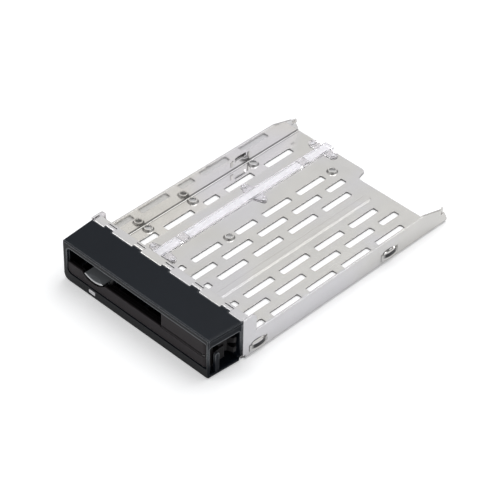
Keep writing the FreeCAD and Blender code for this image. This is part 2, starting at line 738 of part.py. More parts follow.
def add_screw_bosses(body, rear_wall):
    """Bosses on the rear wall for the three screws."""
    rims = new_sketch(body, "XZ", "screw_boss_rims", rear_wall + 0.2)
    bores = new_sketch(body, "XZ", "screw_bore_rims", size.bezel_depth + 1)
    for across in screw_places().values():
        ring(rims, across, size.screw_level, 2.5)
        ring(bores, across, size.screw_level, size.screw_radius + 0.01)
    raise_from(body, rims, "screw_bosses", size.screw_length, forwards=False)
    raise_from(body, bores, "screw_bores", size.screw_length + 1.2, forwards=False, kind="Pocket")


def add_guide_way(body, rear_wall):
    """The window for the light guide in the face and the way out through the rear wall."""
    window = new_sketch(body, "XZ", "light_window_outline", -1)
    middle = guide_middle()
    half = size.guide_tip_width / 2 + 0.03
    rounded_outline(window, middle - half, middle + half, size.guide_tip_low - 0.03,
                    size.guide_tip_high + 0.03, 0.82)
    raise_from(body, window, "light_window", size.bezel_face + 1.2, kind="Pocket")
    way = new_sketch(body, "XZ", "light_way_outline", rear_wall - 0.3)
    box_outline(way, middle - half - 0.2, middle + half + 0.2, size.bezel_wall, size.seat_high - 0.9)
    raise_from(body, way, "light_way", size.bezel_wall + 1, kind="Pocket")


def add_hooks(body):
    """Snap tongues that pass under the tray's lip and hold it from behind."""
    lip_rear = TRAY_FRONT + size.lip_depth
    tops = new_sketch(body, "XZ", "hook_roots", size.bezel_depth - 0.5)
    arms = new_sketch(body, "XZ", "hook_arms", size.bezel_depth - 0.5)
    barbs = new_sketch(body, "XZ", "hook_barbs", lip_rear - 1.75)
    half = size.hook_width / 2
    under_lip = size.front_height - size.sheet
    for middle in hook_places():
        box_outline(tops, middle - half, middle + half, size.front_height - 2.4, size.front_height)
        box_outline(arms, middle - half, middle + half, size.front_height - 2.4, under_lip - 0.1)
        box_outline(barbs, middle - half + 0.2, middle + half - 0.2, size.front_height - 2.4,
                    size.front_height - 0.3)
    raise_from(body, tops, "hook_root", 2.0)
    raise_from(body, arms, "hook_arm", lip_rear - 1.2 - size.bezel_depth + 0.5)
    raise_from(body, barbs, "hook_barb", 0.55)


# ---------------------------------------------------------------- lever, pin and springs

def make_lever():
    body = new_body("lever_handle")
    front = size.lever_set_back
    back = size.lever_set_back + size.lever_plate
    left = size.opening_left + size.lever_gap
    pivot_x, pivot_y = size.pivot_across, size.pivot_deep
    knuckle = pivot_y - front

    band = new_sketch(body, "XZ", "band_outline", front)
    rounded_corners(band, left, pivot_x, size.lever_low, size.band_high, (2.6, 0.3, 0.3, 0.6))
    raise_from(body, band, "band", size.lever_plate)
    block = new_sketch(body, "XY", "block_outline", size.band_high - 0.5)
    box_outline(block, size.block_left, pivot_x, front, back)
    raise_from(body, block, "block", size.lever_high - size.band_high + 0.5)
    barrel = new_sketch(body, "XY", "knuckle_outline", size.lever_low)
    ring(barrel, pivot_x, pivot_y, knuckle)
    raise_from(body, barrel, "knuckle", size.lever_high - size.lever_low)

    ribs = new_sketch(body, "XY", "rib_outlines", size.lever_low)
    for step in range(5):
        place = as_size(-19.5 + 14.5 * step)
        box_outline(ribs, place, place + 1.2, back - 0.2, back + 2.4)
    raise_from(body, ribs, "band_ribs", size.band_high - size.lever_low - 0.8)
    rails = new_sketch(body, "XZ", "rail_outlines", back - 0.2)
    box_outline(rails, -21.5, 41.5, size.lever_low, size.lever_low + 1.2)
    box_outline(rails, -21.5, 41.5, size.band_high - 1.6, size.band_high - 0.4)
    box_outline(rails, size.block_left, 41.5, size.lever_high - 1.2, size.lever_high)
    raise_from(body, rails, "rails", 2.4)

    arm = new_sketch(body, "XY", "arm_outline", size.arm_low)
    outline(arm, [
        (pivot_x - 2.6, pivot_y), (pivot_x + 2.85, pivot_y), (pivot_x + 2.85, pivot_y + 8.6),
        (pivot_x - 1.4, pivot_y + 8.6), (pivot_x - 2.6, pivot_y + 6.0)])
    raise_from(body, arm, "arm", size.arm_high - size.arm_low)

    catch = new_sketch(body, "YZ", "catch_section", size.button_centre - 3.5)
    web_high = size.band_high - 3.6
    outline(catch, [
        (back - 0.2, web_high - 0.7), (back + 2.6, web_high - 0.7), (back + 2.6, web_high - 1.1),
        (back + 3.3, web_high - 1.1), (back + 3.3, web_high), (back - 0.2, web_high)])
    raise_from(body, catch, "catch", 7)

    groove = new_sketch(body, "YZ", "groove_section", size.block_left - 1)
    outline(groove, [(front - 1, size.band_high - 0.7), (front + 0.4, size.band_high - 0.7),
                     (front + 1.2, size.band_high + 0.5), (front + 1.2, size.band_high + 1.7),
                     (front - 1, size.band_high + 1.7)])
    raise_from(body, groove, "finger_groove", pivot_x - size.block_left + 4, kind="Pocket")
    scoop = new_sketch(body, "XZ", "scoop_outline", front - 1)
    ring(scoop, size.button_centre, size.button_high + size.scoop_gap * -1 - size.button_sag + 11.3, 11.3)
    raise_from(body, scoop, "scoop", size.lever_plate + 1.3, kind="Pocket")

    bore = new_sketch(body, "XY", "bore_rim", 0)
    ring(bore, pivot_x, pivot_y, size.pin_radius + size.running_gap)
    raise_from(body, bore, "pin_bore", 30, kind="Pocket")
    recess = new_sketch(body, "XY", "spring_recess_outline", size.arm_low + 1.9)
    box_outline(recess, pivot_x - 2.1, pivot_x + 2.1, pivot_y, pivot_y + 5.0)
    raise_from(body, recess, "spring_recess", 4.4, kind="Pocket")
    coil_room = new_sketch(body, "XY", "coil_room_rim", size.arm_low + 1.9)
    ring(coil_room, pivot_x, pivot_y, 2.1)
    raise_from(body, coil_room, "coil_room", 4.4, kind="Pocket")
    socket = new_sketch(body, "XY", "claw_socket_outline", size.claw_low)
    box_outline(socket, pivot_x - 0.6, pivot_x + 2.0, pivot_y + 5.6, pivot_y + 9)
    raise_from(body, socket, "claw_socket", 10, kind="Pocket")
    return body


def make_claw():
    body = new_body("lever_claw")
    pivot_x, pivot_y = size.pivot_across, size.pivot_deep
    plan = new_sketch(body, "XY", "claw_outline", size.claw_low)
    outline(plan, [
        (pivot_x - 0.6, pivot_y + 5.6), (pivot_x + 2.0, pivot_y + 5.6), (pivot_x + 2.0, pivot_y + 8.65),
        (pivot_x + 3.0, pivot_y + 10.2), (pivot_x + 6.2, pivot_y + 11.6), (pivot_x + 6.3, pivot_y + 13.2),
        (pivot_x + 3.4, pivot_y + 14.3), (pivot_x + 0.2, pivot_y + 13.4), (pivot_x - 1.2, pivot_y + 11.0),
        (pivot_x - 0.6, pivot_y + 8.65)])
    raise_from(body, plan, "claw", size.claw_high - size.claw_low)
    eye = new_sketch(body, "YZ", "eye_rim", pivot_x - 3)
    ring(eye, pivot_y + 11.9, (size.claw_low + size.claw_high) / 2, 1.6)
    raise_from(body, eye, "eye", 12, kind="Pocket")
    return body


def make_pin():
    body = new_body("lever_pin")
    rim = new_sketch(body, "XY", "pin_rim", 0.6)
    ring(rim, size.pivot_across, size.pivot_deep, size.pin_radius)
    pin = raise_from(body, rim, "pin", size.bezel_height - 2.6)
    bevel_edges(body, pin, "pin_ends", [
        (size.pivot_across - size.pin_radius, size.pivot_deep, 0.6),
        (size.pivot_across - size.pin_radius, size.pivot_deep, size.bezel_height - 2.0)], 0.3)
    return body


def coil(label, across, along, low, high, mean_radius, wire, turns, leg=0.0):
    """A wire coil about a vertical axis; its straight legs, if any, point to the rear."""
    rise = high - as_size(low).value - 2 * wire
    steps = round(turns * 12)
    up, rearwards = FreeCAD.Vector(0, 0, 1), FreeCAD.Vector(0, leg, 0)
    rings = []
    for step in range(steps + 1):
        angle = -2 * math.pi * turns * step / steps
        outward = FreeCAD.Vector(math.cos(angle), math.sin(angle), 0)
        centre = outward * mean_radius + up * (rise * step / steps)
        corners = [math.pi / 6 * odd for odd in (1, 3, 5, 7, 9, 11)]
        rings.append([centre + outward * (wire * math.cos(turn)) + up * (wire * math.sin(turn))
                      for turn in corners])
    if leg:
        rings.insert(0, [corner + rearwards for corner in rings[0]])
        rings.append([corner + rearwards for corner in rings[-1]])
    sections = [Part.makePolygon(loop + loop[:1]) for loop in rings]
    thing = document.addObject("Part::Feature", label)
    thing.Label = label
    thing.Shape = Part.makeLoft(sections, True, True)
    bind(thing, "Placement.Base.x", across)
    bind(thing, "Placement.Base.y", along - OVERALL_LENGTH / 2)
    bind(thing, "Placement.Base.z", low + as_size(wire))
    parts.append(thing)
    return thing


# ---------------------------------------------------------------- release button

def make_button():
    body = new_body("release_button")
    middle, half = size.button_centre, size.button_half
    high, front = size.button_high, size.button_front
    low_edge = high - 0.5
    sag = size.button_sag - 0.5
    radius = (half * half + sag * sag) / (sag * 2)
    tongue = new_sketch(body, "XZ", "tongue_outline", front)
    outline(tongue, [(middle - half, high), (middle - half, low_edge), (middle + half, low_edge, radius),
                     (middle + half, high)])
    raise_from(body, tongue, "tongue", size.stem_front - front)
    lip = as_size(0.9)
    dish = new_sketch(body, "XZ", "dish_outline", front - 0.2)
    dish_half = half - 0.7
    dish_sag = sag - 0.35
    dish_radius = (dish_half * dish_half + dish_sag * dish_sag) / (dish_sag * 2)
    outline(dish, [(middle - dish_half, high + 0.5), (middle - dish_half, low_edge + lip - 0.3),
                   (middle + dish_half, low_edge + lip - 0.3, dish_radius), (middle + dish_half, high + 0.5)])
    raise_from(body, dish, "dish", 3.4, taper=-14.0, kind="Pocket")
    stem = new_sketch(body, "XY", "stem_outline", size.seat_high + size.button_travel + 0.2)
    flange = size.stem_front + 1.5
    near, far = as_size(5.95), as_size(6.75)
    outline(stem, [
        (middle - near, size.stem_front - 0.3), (middle + near, size.stem_front - 0.3), (middle + near, flange),
        (middle + far, flange), (middle + far, flange + 1.2), (middle + near, flange + 1.2),
        (middle + near, size.stem_rear), (middle - near, size.stem_rear), (middle - near, flange + 1.2),
        (middle - far, flange + 1.2), (middle - far, flange), (middle - near, flange)])
    raise_from(body, stem, "stem", high - size.seat_high - size.button_travel - 0.2)
    web_high = size.band_high - 3.6
    nose_low = size.seat_high + size.button_travel + 0.2
    nose = new_sketch(body, "YZ", "nose_section", middle - 3)
    tooth = size.lever_set_back + size.lever_plate + 2.3
    outline(nose, [
        (tooth - 1.0, nose_low), (size.stem_front + 0.5, nose_low), (size.stem_front + 0.5, nose_low + 0.7),
        (tooth, nose_low + 0.7), (tooth, web_high - 1.25), (tooth - 1.0, web_high - 1.55)])
    raise_from(body, nose, "nose", 6)
    pocket = new_sketch(body, "XY", "spring_pocket_rim", 0)
    ring(pocket, middle, (size.stem_front + size.stem_rear) / 2, 1.6)
    raise_from(body, pocket, "spring_pocket", size.button_high - 2.4, kind="Pocket")
    document.recompute()
    round_edges(body, body.Tip, "front_round", [(middle, front, high)], 0.6)
    return body


# ---------------------------------------------------------------- light guide

def make_light_guide():
    body = new_body("light_guide")
    middle = guide_middle()
    half = size.guide_width / 2
    low = as_size(0.25)
    inside_top = size.seat_high - 1.2
    slope_start, slope_end = TRAY_FRONT + 1.6, TRAY_FRONT + 5.2
    side = new_sketch(body, "YZ", "side_outline", middle - half)
    rear = size.tray_rear + size.guide_overhang
    front = size.bezel_face + 0.05
    outline(side, [
        (front, size.guide_tip_low), (slope_start, size.guide_tip_low), (slope_end, low), (rear - 0.4, low),
        (rear, low + 0.4), (rear, size.guide_top - 0.6), (rear - 0.6, size.guide_top),
        (slope_end + 0.4, size.guide_top), (slope_start, inside_top), (front, inside_top)])
    raise_from(body, side, "bar", size.guide_width)
    tip = new_sketch(body, "XZ", "tip_outline", 0.3)
    tip_half = size.guide_tip_width / 2
    rounded_outline(tip, middle - tip_half, middle + tip_half, size.guide_tip_low, size.guide_tip_high, 0.8)
    raise_from(body, tip, "tip", size.bezel_face)
    sides = new_sketch(body, "XY", "tip_sides", 0)
    for way in (-1, 1):
        near, far = middle + tip_half * way, middle + (half + 1) * way
        first, last = (near, far) if way > 0 else (far, near)
        box_outline(sides, first, last, -1, TRAY_FRONT + 1.2)
    raise_from(body, sides, "tip_side_cuts", 10, kind="Pocket")
    under = new_sketch(body, "YZ", "bridge_outlines", middle - half - 1)
    for front_edge in (size.bridge_front, size.bridge_rear):
        box_outline(under, front_edge - 0.25, front_edge + size.bridge_length + 0.25, -1, size.sheet + 0.05)
    raise_from(body, under, "bridge_cuts", size.guide_width + 2, kind="Pocket")

    tabs = new_sketch(body, "XY", "ear_outlines", size.sheet + 0.02)
    pegs = new_sketch(body, "XY", "peg_rims", 0.1)
    heads = new_sketch(body, "XY", "peg_heads", size.sheet + 0.6)
    shoulders = (2.8, 3.7, 2.9)
    ends = (1.95, 1.95, 2.7)
    for (centre, along), shoulder, end in zip(ear_pairs(), shoulders, ends):
        reach = size.peg_reach
        bend = as_size(end + 0.02)
        outline(tabs, [
            (centre - reach, along - end, bend), (middle - half + 0.2, along - shoulder),
            (middle + half - 0.2, along - shoulder), (centre + reach, along - end),
            (centre + reach, along + end, bend), (middle + half - 0.2, along + shoulder),
            (middle - half + 0.2, along + shoulder), (centre - reach, along + end)])
        for way in (-1, 1):
            ring(pegs, centre + reach * way, along, size.peg_radius)
            ring(heads, centre + reach * way, along, size.peg_radius + 0.55)
    raise_from(body, tabs, "ears", 0.75)
    raise_from(body, pegs, "pegs", 1.2)
    raise_from(body, heads, "heads", 0.55)
    return body


# ---------------------------------------------------------------- leaf springs and screws

def make_leaf(label, middle, side):
    """A bowed leaf that hooks into two slots of a side wall."""
    body = new_body(label)
    sketch = new_sketch(body, "XY", "leaf_outline", size.leaf_low)
    half, thick = size.leaf_half, size.leaf
    inside = HALF_WIDTH - size.sheet - 0.02
    root = HALF_WIDTH + 0.1
    rise = HALF_WIDTH + size.leaf_bow - root
    outer_half, inner_half = half + thick / 2, half - thick / 2
    outer_radius = (outer_half * outer_half + rise * rise) / (rise * 2)
    inner_rise = rise - thick
    inner_radius = (inner_half * inner_half + inner_rise * inner_rise) / (inner_rise * 2)
    foot = as_size(1.2)
    front, rear = middle - half, middle + half
    points = [
        (inside, front - thick / 2 - foot), (inside, front - thick / 2), (root, front - thick / 2),
        (root, rear + thick / 2, outer_radius), (inside, rear + thick / 2),
        (inside, rear + thick / 2 + foot), (inside - thick, rear + thick / 2 + foot),
        (inside - thick, rear - thick / 2), (root, rear - thick / 2),
        (root, front + thick / 2, -inner_radius), (inside - thick, front + thick / 2),
        (inside - thick, front - thick / 2 - foot)]
    if side < 0:
        points = [(-corner[0], corner[1]) + tuple(-bend for bend in corner[2:]) for corner in points]
    outline(sketch, points)
    raise_from(body, sketch, "leaf", size.leaf_tall)
    return body


def make_screw(label, across):
    """A pan-head screw put in from behind the tray's front wall."""
    body = new_body(label)
    seat = TRAY_FRONT + size.sheet
    head_rim = new_sketch(body, "XZ", "head_rim", seat)
    ring(head_rim, across, size.screw_level, 2.3)
    head = raise_from(body, head_rim, "head", 1.5)
    bevel_edges(body, head, "head_bevel", [(across - 2.3, seat + 1.5, size.screw_level)], 0.6)
    shank_rim = new_sketch(body, "XZ", "shank_rim", seat + 0.2)
    ring(shank_rim, across, size.screw_level, size.screw_radius)
    raise_from(body, shank_rim, "shank", size.screw_length + 0.2, forwards=False)
    drive = new_sketch(body, "XZ", "recess_outline", seat + 2)
    arm, half = as_size(1.2), as_size(0.28)
    level = size.screw_level
    outline(drive, [
        (across - arm, level - half), (across - half, level - half), (across - half, level - arm),
        (across + half, level - arm), (across + half, level - half), (across + arm, level - half),
        (across + arm, level + half), (across + half, level + half), (across + half, level + arm),
        (across - half, level + arm), (across - half, level + half), (across - arm, level + half)])
    raise_from(body, drive, "recess", 1.4, forwards=False, kind="Pocket")
    return body


make_tray()
make_bezel_housing()
make_lever()
make_claw()
make_pin()
coil("lever_spring", size.pivot_across, size.pivot_deep, 8.6, 12.3, 1.75, 0.22, 4.5, leg=4.4)
make_button()
coil("button_spring", size.button_centre, (size.stem_front + size.stem_rear) / 2,
     size.seat_high, 9.6, 1.2, 0.2, 6.0)
make_light_guide()
for wall_label, wall_side in (("left", -1), ("right", 1)):
    make_leaf("guide_spring_front_" + wall_label, size.leaf_front, wall_side)
    make_leaf("guide_spring_rear_" + wall_label, size.leaf_rear, wall_side)
for screw_label, screw_place in screw_places().items():
    make_screw("bezel_screw_" + screw_label, screw_place)

document.recompute()
for item in document.Objects:
    if "Invalid" in item.State or "Error" in item.State:
        raise RuntimeError("%s did not build: %s" % (item.Name, item.State))
os.makedirs("parts", exist_ok=True)
for part in parts:
    if part.Shape.isNull() or not part.Shape.isValid():
        raise RuntimeError(part.Label + " is not a sound solid")
    part.Shape.exportStep("parts/" + part.Label + ".step")
    print(part.Label, len(part.Shape.Solids), part.Shape.BoundBox, round(part.Shape.Volume, 1))
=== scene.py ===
"""Finishes, light and camera for the hot swap drive caddy.

Lengths are metres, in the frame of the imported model: X across the caddy, Y from the bezel to
the rear, Z up from the surface that it lies on.
"""

import logging
import math
from dataclasses import dataclass, replace
from enum import Enum
from typing import Any

import bpy
import numpy as np
from mathutils import Matrix, Vector


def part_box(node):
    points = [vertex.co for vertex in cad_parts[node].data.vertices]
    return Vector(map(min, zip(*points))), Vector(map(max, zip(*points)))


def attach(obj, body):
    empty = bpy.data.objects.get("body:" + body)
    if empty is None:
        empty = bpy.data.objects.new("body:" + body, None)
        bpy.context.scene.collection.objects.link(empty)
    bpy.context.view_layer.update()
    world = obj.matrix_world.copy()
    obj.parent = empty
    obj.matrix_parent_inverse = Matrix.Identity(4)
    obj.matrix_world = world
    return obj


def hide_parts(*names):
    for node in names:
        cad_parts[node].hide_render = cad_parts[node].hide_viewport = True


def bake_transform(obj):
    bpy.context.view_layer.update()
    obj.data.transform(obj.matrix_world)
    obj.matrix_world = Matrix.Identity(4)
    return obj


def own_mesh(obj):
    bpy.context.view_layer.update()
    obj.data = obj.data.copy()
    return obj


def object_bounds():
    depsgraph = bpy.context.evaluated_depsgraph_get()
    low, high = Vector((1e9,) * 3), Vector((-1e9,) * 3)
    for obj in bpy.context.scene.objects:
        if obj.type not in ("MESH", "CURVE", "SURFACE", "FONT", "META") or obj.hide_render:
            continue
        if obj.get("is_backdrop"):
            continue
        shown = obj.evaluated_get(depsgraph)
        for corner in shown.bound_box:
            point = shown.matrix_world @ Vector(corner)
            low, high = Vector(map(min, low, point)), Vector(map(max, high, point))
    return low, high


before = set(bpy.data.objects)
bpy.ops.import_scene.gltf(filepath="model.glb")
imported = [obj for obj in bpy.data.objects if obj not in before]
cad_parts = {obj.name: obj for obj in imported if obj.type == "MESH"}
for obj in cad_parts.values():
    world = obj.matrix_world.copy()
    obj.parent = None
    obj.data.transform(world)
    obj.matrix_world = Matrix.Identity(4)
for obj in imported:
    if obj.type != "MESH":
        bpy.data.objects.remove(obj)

LOG = logging.getLogger("drive_caddy")
MM = 0.001

# Inputs of a Mix node: its factor, its two values and its two colours; the output of the latter.
FACTOR = 0
VALUES = (2, 3)
COLOURS = (6, 7)
MIXED_COLOUR = 2

Socket = bpy.types.NodeSocket
Triple = tuple[float, float, float]
Colour = Triple
Range = tuple[float, float]
Source = Socket | Colour | float


class Body(Enum):
    """The rigid bodies that the springs are held by."""

    CADDY = "caddy"
    LEVER = "lever"


class Row(Enum):
    """The rows of leaf springs in the side walls."""

    FRONT = "front"
    REAR = "rear"


class Side(Enum):
    """The sides of the caddy, seen from the front."""

    LEFT = "left"
    RIGHT = "right"


class Screw(Enum):
    """The screws that hold the bezel, seen from the front."""

    LEFT = "left"
    MIDDLE = "middle"
    RIGHT = "right"


class Arithmetic(Enum):
    """What is made of two values."""

    LARGER = "MAXIMUM"
    PRODUCT = "MULTIPLY"


class Layer(Enum):
    """How one colour acts on the colour under it."""

    OVER = "MIX"
    SHADE = "MULTIPLY"


# ------------------------------------------------------------------ shader graphs


def add_ray_strength(tree: bpy.types.NodeTree, seen: float, mirrored: float,
                     other: float) -> Socket:
    """Add nodes that give a strength by the kind of ray.

    Args:
        tree: the node tree of a material or world.
        seen: strength for straight rays and for those through clear plastic.
        mirrored: strength for rays that a glossy surface sends on.
        other: strength for the rest.

    Returns:
        The strength.
    """
    path = tree.nodes.new("ShaderNodeLightPath")
    strength: Socket | None = None
    kinds = (("Is Glossy Ray", mirrored), ("Is Transmission Ray", seen), ("Is Camera Ray", seen))
    for name, value in kinds:
        choice = tree.nodes.new("ShaderNodeMix")
        before, chosen = (choice.inputs[number] for number in VALUES)
        tree.links.new(path.outputs[name], choice.inputs[FACTOR])
        if strength is None:
            before.default_value = other
        else:
            tree.links.new(strength, before)
        chosen.default_value = value
        strength = choice.outputs[0]
    return strength


class Graph:
    """A material's node tree, with short calls to add and join nodes.

    Attributes:
        LOOKUPS: rays that each corner and edge lookup sends out.
        SOFTENING: rays that a softened edge sends out.
        OPEN_SKY: shares of open sky at which a corner is darkest and at which it is clear.
        EDGE_SKY: the same for an edge, which has to stand out.
        EDGE_TURN: how like the flat normal the softened one is on an edge and beside it.
        UPRIGHT: upward parts of the normal of a wall and of what is no wall.
        STRAIGHT: largest parts of the normal on a fold and on a flat stretch.
        FADE: over how much a strip fades out.
        BRINK: how far from a sheet's face its cut edge begins and ends.
    """

    LOOKUPS = 8
    SOFTENING = 6
    OPEN_SKY = (0.3, 0.8)
    EDGE_SKY = (0.6, 0.9)
    EDGE_TURN = (0.88, 0.985)
    UPRIGHT = (0.2, 0.5)
    STRAIGHT = (0.7, 0.88)
    FADE = 0.1 * MM
    BRINK = 0.03 * MM

    def __init__(self, name: str) -> None:
        """Start an empty node material.

        Args:
            name: the finish's name.
        """
        self.material = bpy.data.materials.new(name)
        self.material.use_nodes = True
        self.tree = self.material.node_tree
        self.tree.nodes.clear()
        self.shader = self.node("ShaderNodeBsdfPrincipled")
        output = self.node("ShaderNodeOutputMaterial")
        self.join(self.shader.outputs[0], output.inputs["Surface"])
        self.place = self.node("ShaderNodeTexCoord").outputs["Object"]

    def node(self, kind: str, **settings: Any) -> bpy.types.Node:
        """Add a node and set its properties.

        Args:
            kind: Blender's name for the node type.
            **settings: properties, and inputs by their name with spaces as underscores.

        Returns:
            The new node.
        """
        made = self.tree.nodes.new(kind)
        for key, value in settings.items():
            label = key.replace("_", " ")
            if hasattr(made, key):
                setattr(made, key, value)
            else:
                made.inputs[label].default_value = value
        return made

    def join(self, source: Socket, target: Socket) -> None:
        """Link an output to an input."""
        self.tree.links.new(source, target)

    def feed(self, source: Source, target: Socket) -> None:
        """Give an input what it reads.

        Args:
            source: an output, a colour or a number.
            target: the input.
        """
        if isinstance(source, Socket):
            self.join(source, target)
        elif isinstance(source, tuple):
            target.default_value = (*source, 1.0)
        else:
            target.default_value = source

    def stretched(self, scale: Triple) -> Socket:
        """Multiply the object coordinates by a scale on each axis.

        Args:
            scale: the scale.

        Returns:
            The new coordinates.
        """
        mapping = self.node("ShaderNodeMapping")
        mapping.inputs["Scale"].default_value = scale
        self.join(self.place, mapping.inputs["Vector"])
        return mapping.outputs[0]

    def noise(self, scale: Triple, detail: float = 2.0, distortion: float = 0.0) -> Socket:
        """Make smooth noise between 0 and 1.

        Args:
            scale: cells per metre along each axis.
            detail: octaves of finer noise.
            distortion: how far the cells are bent.

        Returns:
            The noise value.
        """
        made = self.node("ShaderNodeTexNoise", Scale=1.0, Detail=detail, Distortion=distortion)
        self.join(self.stretched(scale), made.inputs["Vector"])
        return made.outputs["Fac"]

    def remap(self, value: Socket, low: float, high: float,
              start: float = 0.3, end: float = 0.7) -> Socket:
        """Stretch a value from one range to another, without leaving the second.

        Args:
            value: the value.
            low: what start becomes.
            high: what end becomes.
            start: lower end of the first range; most noise lies above it.
            end: its upper end.

        Returns:
            The new value.
        """
        made = self.node("ShaderNodeMapRange")
        self.join(value, made.inputs["Value"])
        limits = (("From Min", start), ("From Max", end), ("To Min", low), ("To Max", high))
        for name, number in limits:
            made.inputs[name].default_value = number
        return made.outputs[0]

    def layered(self, way: Layer, amount: Source, under: Source, upper: Source) -> Socket:
        """Let one colour act on another.

        Args:
            way: how it acts.
            amount: how much, from 0 to 1.
            under: the lower colour.
            upper: the upper colour.

        Returns:
            The colour that shows.
        """
        made = self.node("ShaderNodeMix")
        made.data_type = "RGBA"
        made.blend_type = way.value
        for number, source in zip((FACTOR, *COLOURS), (amount, under, upper)):
            self.feed(source, made.inputs[number])
        return made.outputs[MIXED_COLOUR]

    def over(self, amount: Socket, under: Source, upper: Colour) -> Socket:
        """Return a colour with as much of an upper colour as an amount from 0 to 1 says."""
        return self.layered(Layer.OVER, amount, under, upper)

    def shaded(self, colour: Socket, amount: Socket) -> Socket:
        """Return a colour of which an amount from 0 to 1 stays."""
        return self.layered(Layer.SHADE, 1.0, colour, amount)

    def corners(self, reach: float, darkest: float) -> Socket:
        """Make a value of 1 in the open and less in inner corners, where little light comes.

        Args:
            reach: how far from a corner the shade goes, in metres.
            darkest: the value deep in a corner.

        Returns:
            The value.
        """
        shade = self.node("ShaderNodeAmbientOcclusion", samples=self.LOOKUPS, only_local=True,
                          Distance=reach)
        return self.remap(shade.outputs["AO"], darkest, 1.0, *self.OPEN_SKY)

    def outer_edges(self, radius: float) -> Socket:
        """Make a value of 1 on edges that stand out and 0 on flat stretches and in corners.

        Args:
            radius: width of the band along an edge, in metres.

        Returns:
            The value.
        """
        soft = self.node("ShaderNodeBevel", samples=self.LOOKUPS, Radius=radius)
        turned = self.node("ShaderNodeVectorMath", operation="DOT_PRODUCT")
        self.join(soft.outputs[0], turned.inputs[0])
        self.join(self.node("ShaderNodeNewGeometry").outputs["Normal"], turned.inputs[1])
        band = self.remap(turned.outputs["Value"], 1.0, 0.0, *self.EDGE_TURN)
        open_air = self.node("ShaderNodeAmbientOcclusion", samples=self.LOOKUPS, only_local=True,
                             Distance=radius)
        return self.product(band, self.remap(open_air.outputs["AO"], 0.0, 1.0, *self.EDGE_SKY))

    def sheared_edges(self, top: float, half_width: float, deepest_shade: float) -> Socket:
        """Make a value of 1 on a sheet's faces and less on the upright cut edges of its floor.

        Args:
            top: height of the floor's upper face.
            half_width: how far the floor reaches to each side.
            deepest_shade: the painted shade on a cut edge.

        Returns:
            The value.
        """
        across, _, height = self.position()
        upright = self.remap(self.size_of(self.facing()[2]), 1.0, 0.0, *self.UPRIGHT)
        low = self.remap(height, 1.0, 0.0, top - self.BRINK, top + self.BRINK)
        inside = self.remap(self.size_of(across), 1.0, 0.0, half_width - self.FADE, half_width)
        cut = self.product(self.product(upright, low), inside)
        return self.remap(cut, 1.0, deepest_shade, 0.0, 1.0)

    def bends(self, deepest_shade: float) -> Socket:
        """Make a value of 1 on faces that look along an axis and less on folds and dished rims.

        Args:
            deepest_shade: the painted shade where the surface is bent most.

        Returns:
            The value.
        """
        across, along, upward = (self.size_of(part) for part in self.facing())
        straight = self.larger(self.larger(across, along), upward)
        return self.remap(straight, deepest_shade, 1.0, *self.STRAIGHT)

    def strip(self, value: Socket, middle: float, half: float, soft: float = FADE) -> Socket:
        """Make a value of 1 where another value lies near a middle and 0 elsewhere.

        Args:
            value: the other value, such as a coordinate.
            middle: the middle of the strip.
            half: half of the strip's width.
            soft: over how much it fades out.

        Returns:
            The value.
        """
        offset = self.node("ShaderNodeMath", operation="SUBTRACT")
        self.join(value, offset.inputs[0])
        offset.inputs[1].default_value = middle
        return self.remap(self.size_of(offset.outputs[0]), 1.0, 0.0, half, half + soft)

    def axes(self, vector: Socket) -> tuple[Socket, ...]:
        """Take a vector apart.

        Args:
            vector: the vector.

        Returns:
            Its parts along X, Y and Z.
        """
        parts = self.node("ShaderNodeSeparateXYZ")
        self.join(vector, parts.inputs[0])
        return tuple(parts.outputs)

    def position(self) -> tuple[Socket, ...]:
        """Return the three parts of the place on the piece."""
        return self.axes(self.place)

    def facing(self) -> tuple[Socket, ...]:
        """Return the three parts of the surface's normal."""
        return self.axes(self.node("ShaderNodeNewGeometry").outputs["Normal"])

    def size_of(self, value: Socket) -> Socket:
        """Take a value's sign away.

        Args:
            value: the value.

        Returns:
            Its size.
        """
        made = self.node("ShaderNodeMath", operation="ABSOLUTE")
        self.join(value, made.inputs[0])
        return made.outputs[0]

    def combined(self, operation: Arithmetic, first: Socket, second: Socket) -> Socket:
        """Make one value of two.

        Args:
            operation: how.
            first: the first value.
            second: the second value.

        Returns:
            The outcome.
        """
        made = self.node("ShaderNodeMath", operation=operation.value)
        self.join(first, made.inputs[0])
        self.join(second, made.inputs[1])
        return made.outputs[0]

    def product(self, first: Socket, second: Socket) -> Socket:
        """Return two values multiplied."""
        return self.combined(Arithmetic.PRODUCT, first, second)

    def larger(self, first: Socket, second: Socket) -> Socket:
        """Return the larger of two values."""
        return self.combined(Arithmetic.LARGER, first, second)

    def roughen(self, value: Socket, mean: float, spread: Range) -> None:
        """Let the shader's roughness follow a value.

        Args:
            value: the value, such as noise.
            mean: the finish's roughness.
            spread: by what it is multiplied where the value is low and where it is high.
        """
        low, high = spread
        self.join(self.remap(value, mean * low, mean * high), self.shader.inputs["Roughness"])

    def surface(self, heights: list[tuple[Socket, float]], edge: float) -> None:
        """Give the shader its relief: soft edges first, then each height on top.

        Args:
            heights: a value from 0 to 1 and the depth in metres that it stands for.
            edge: radius of the softened edges in metres; 0 for none.
        """
        normal = None
        if edge > 0:
            soft = self.node("ShaderNodeBevel", samples=self.SOFTENING, Radius=edge)
            normal = soft.outputs[0]
        for height, depth in heights:
            bump = self.node("ShaderNodeBump", Strength=1.0, Distance=depth)
            self.join(height, bump.inputs["Height"])
            if normal is not None:
                self.join(normal, bump.inputs["Normal"])
            normal = bump.outputs[0]
        if normal is not None:
            self.join(normal, self.shader.inputs["Normal"])


# ------------------------------------------------------------------ finishes


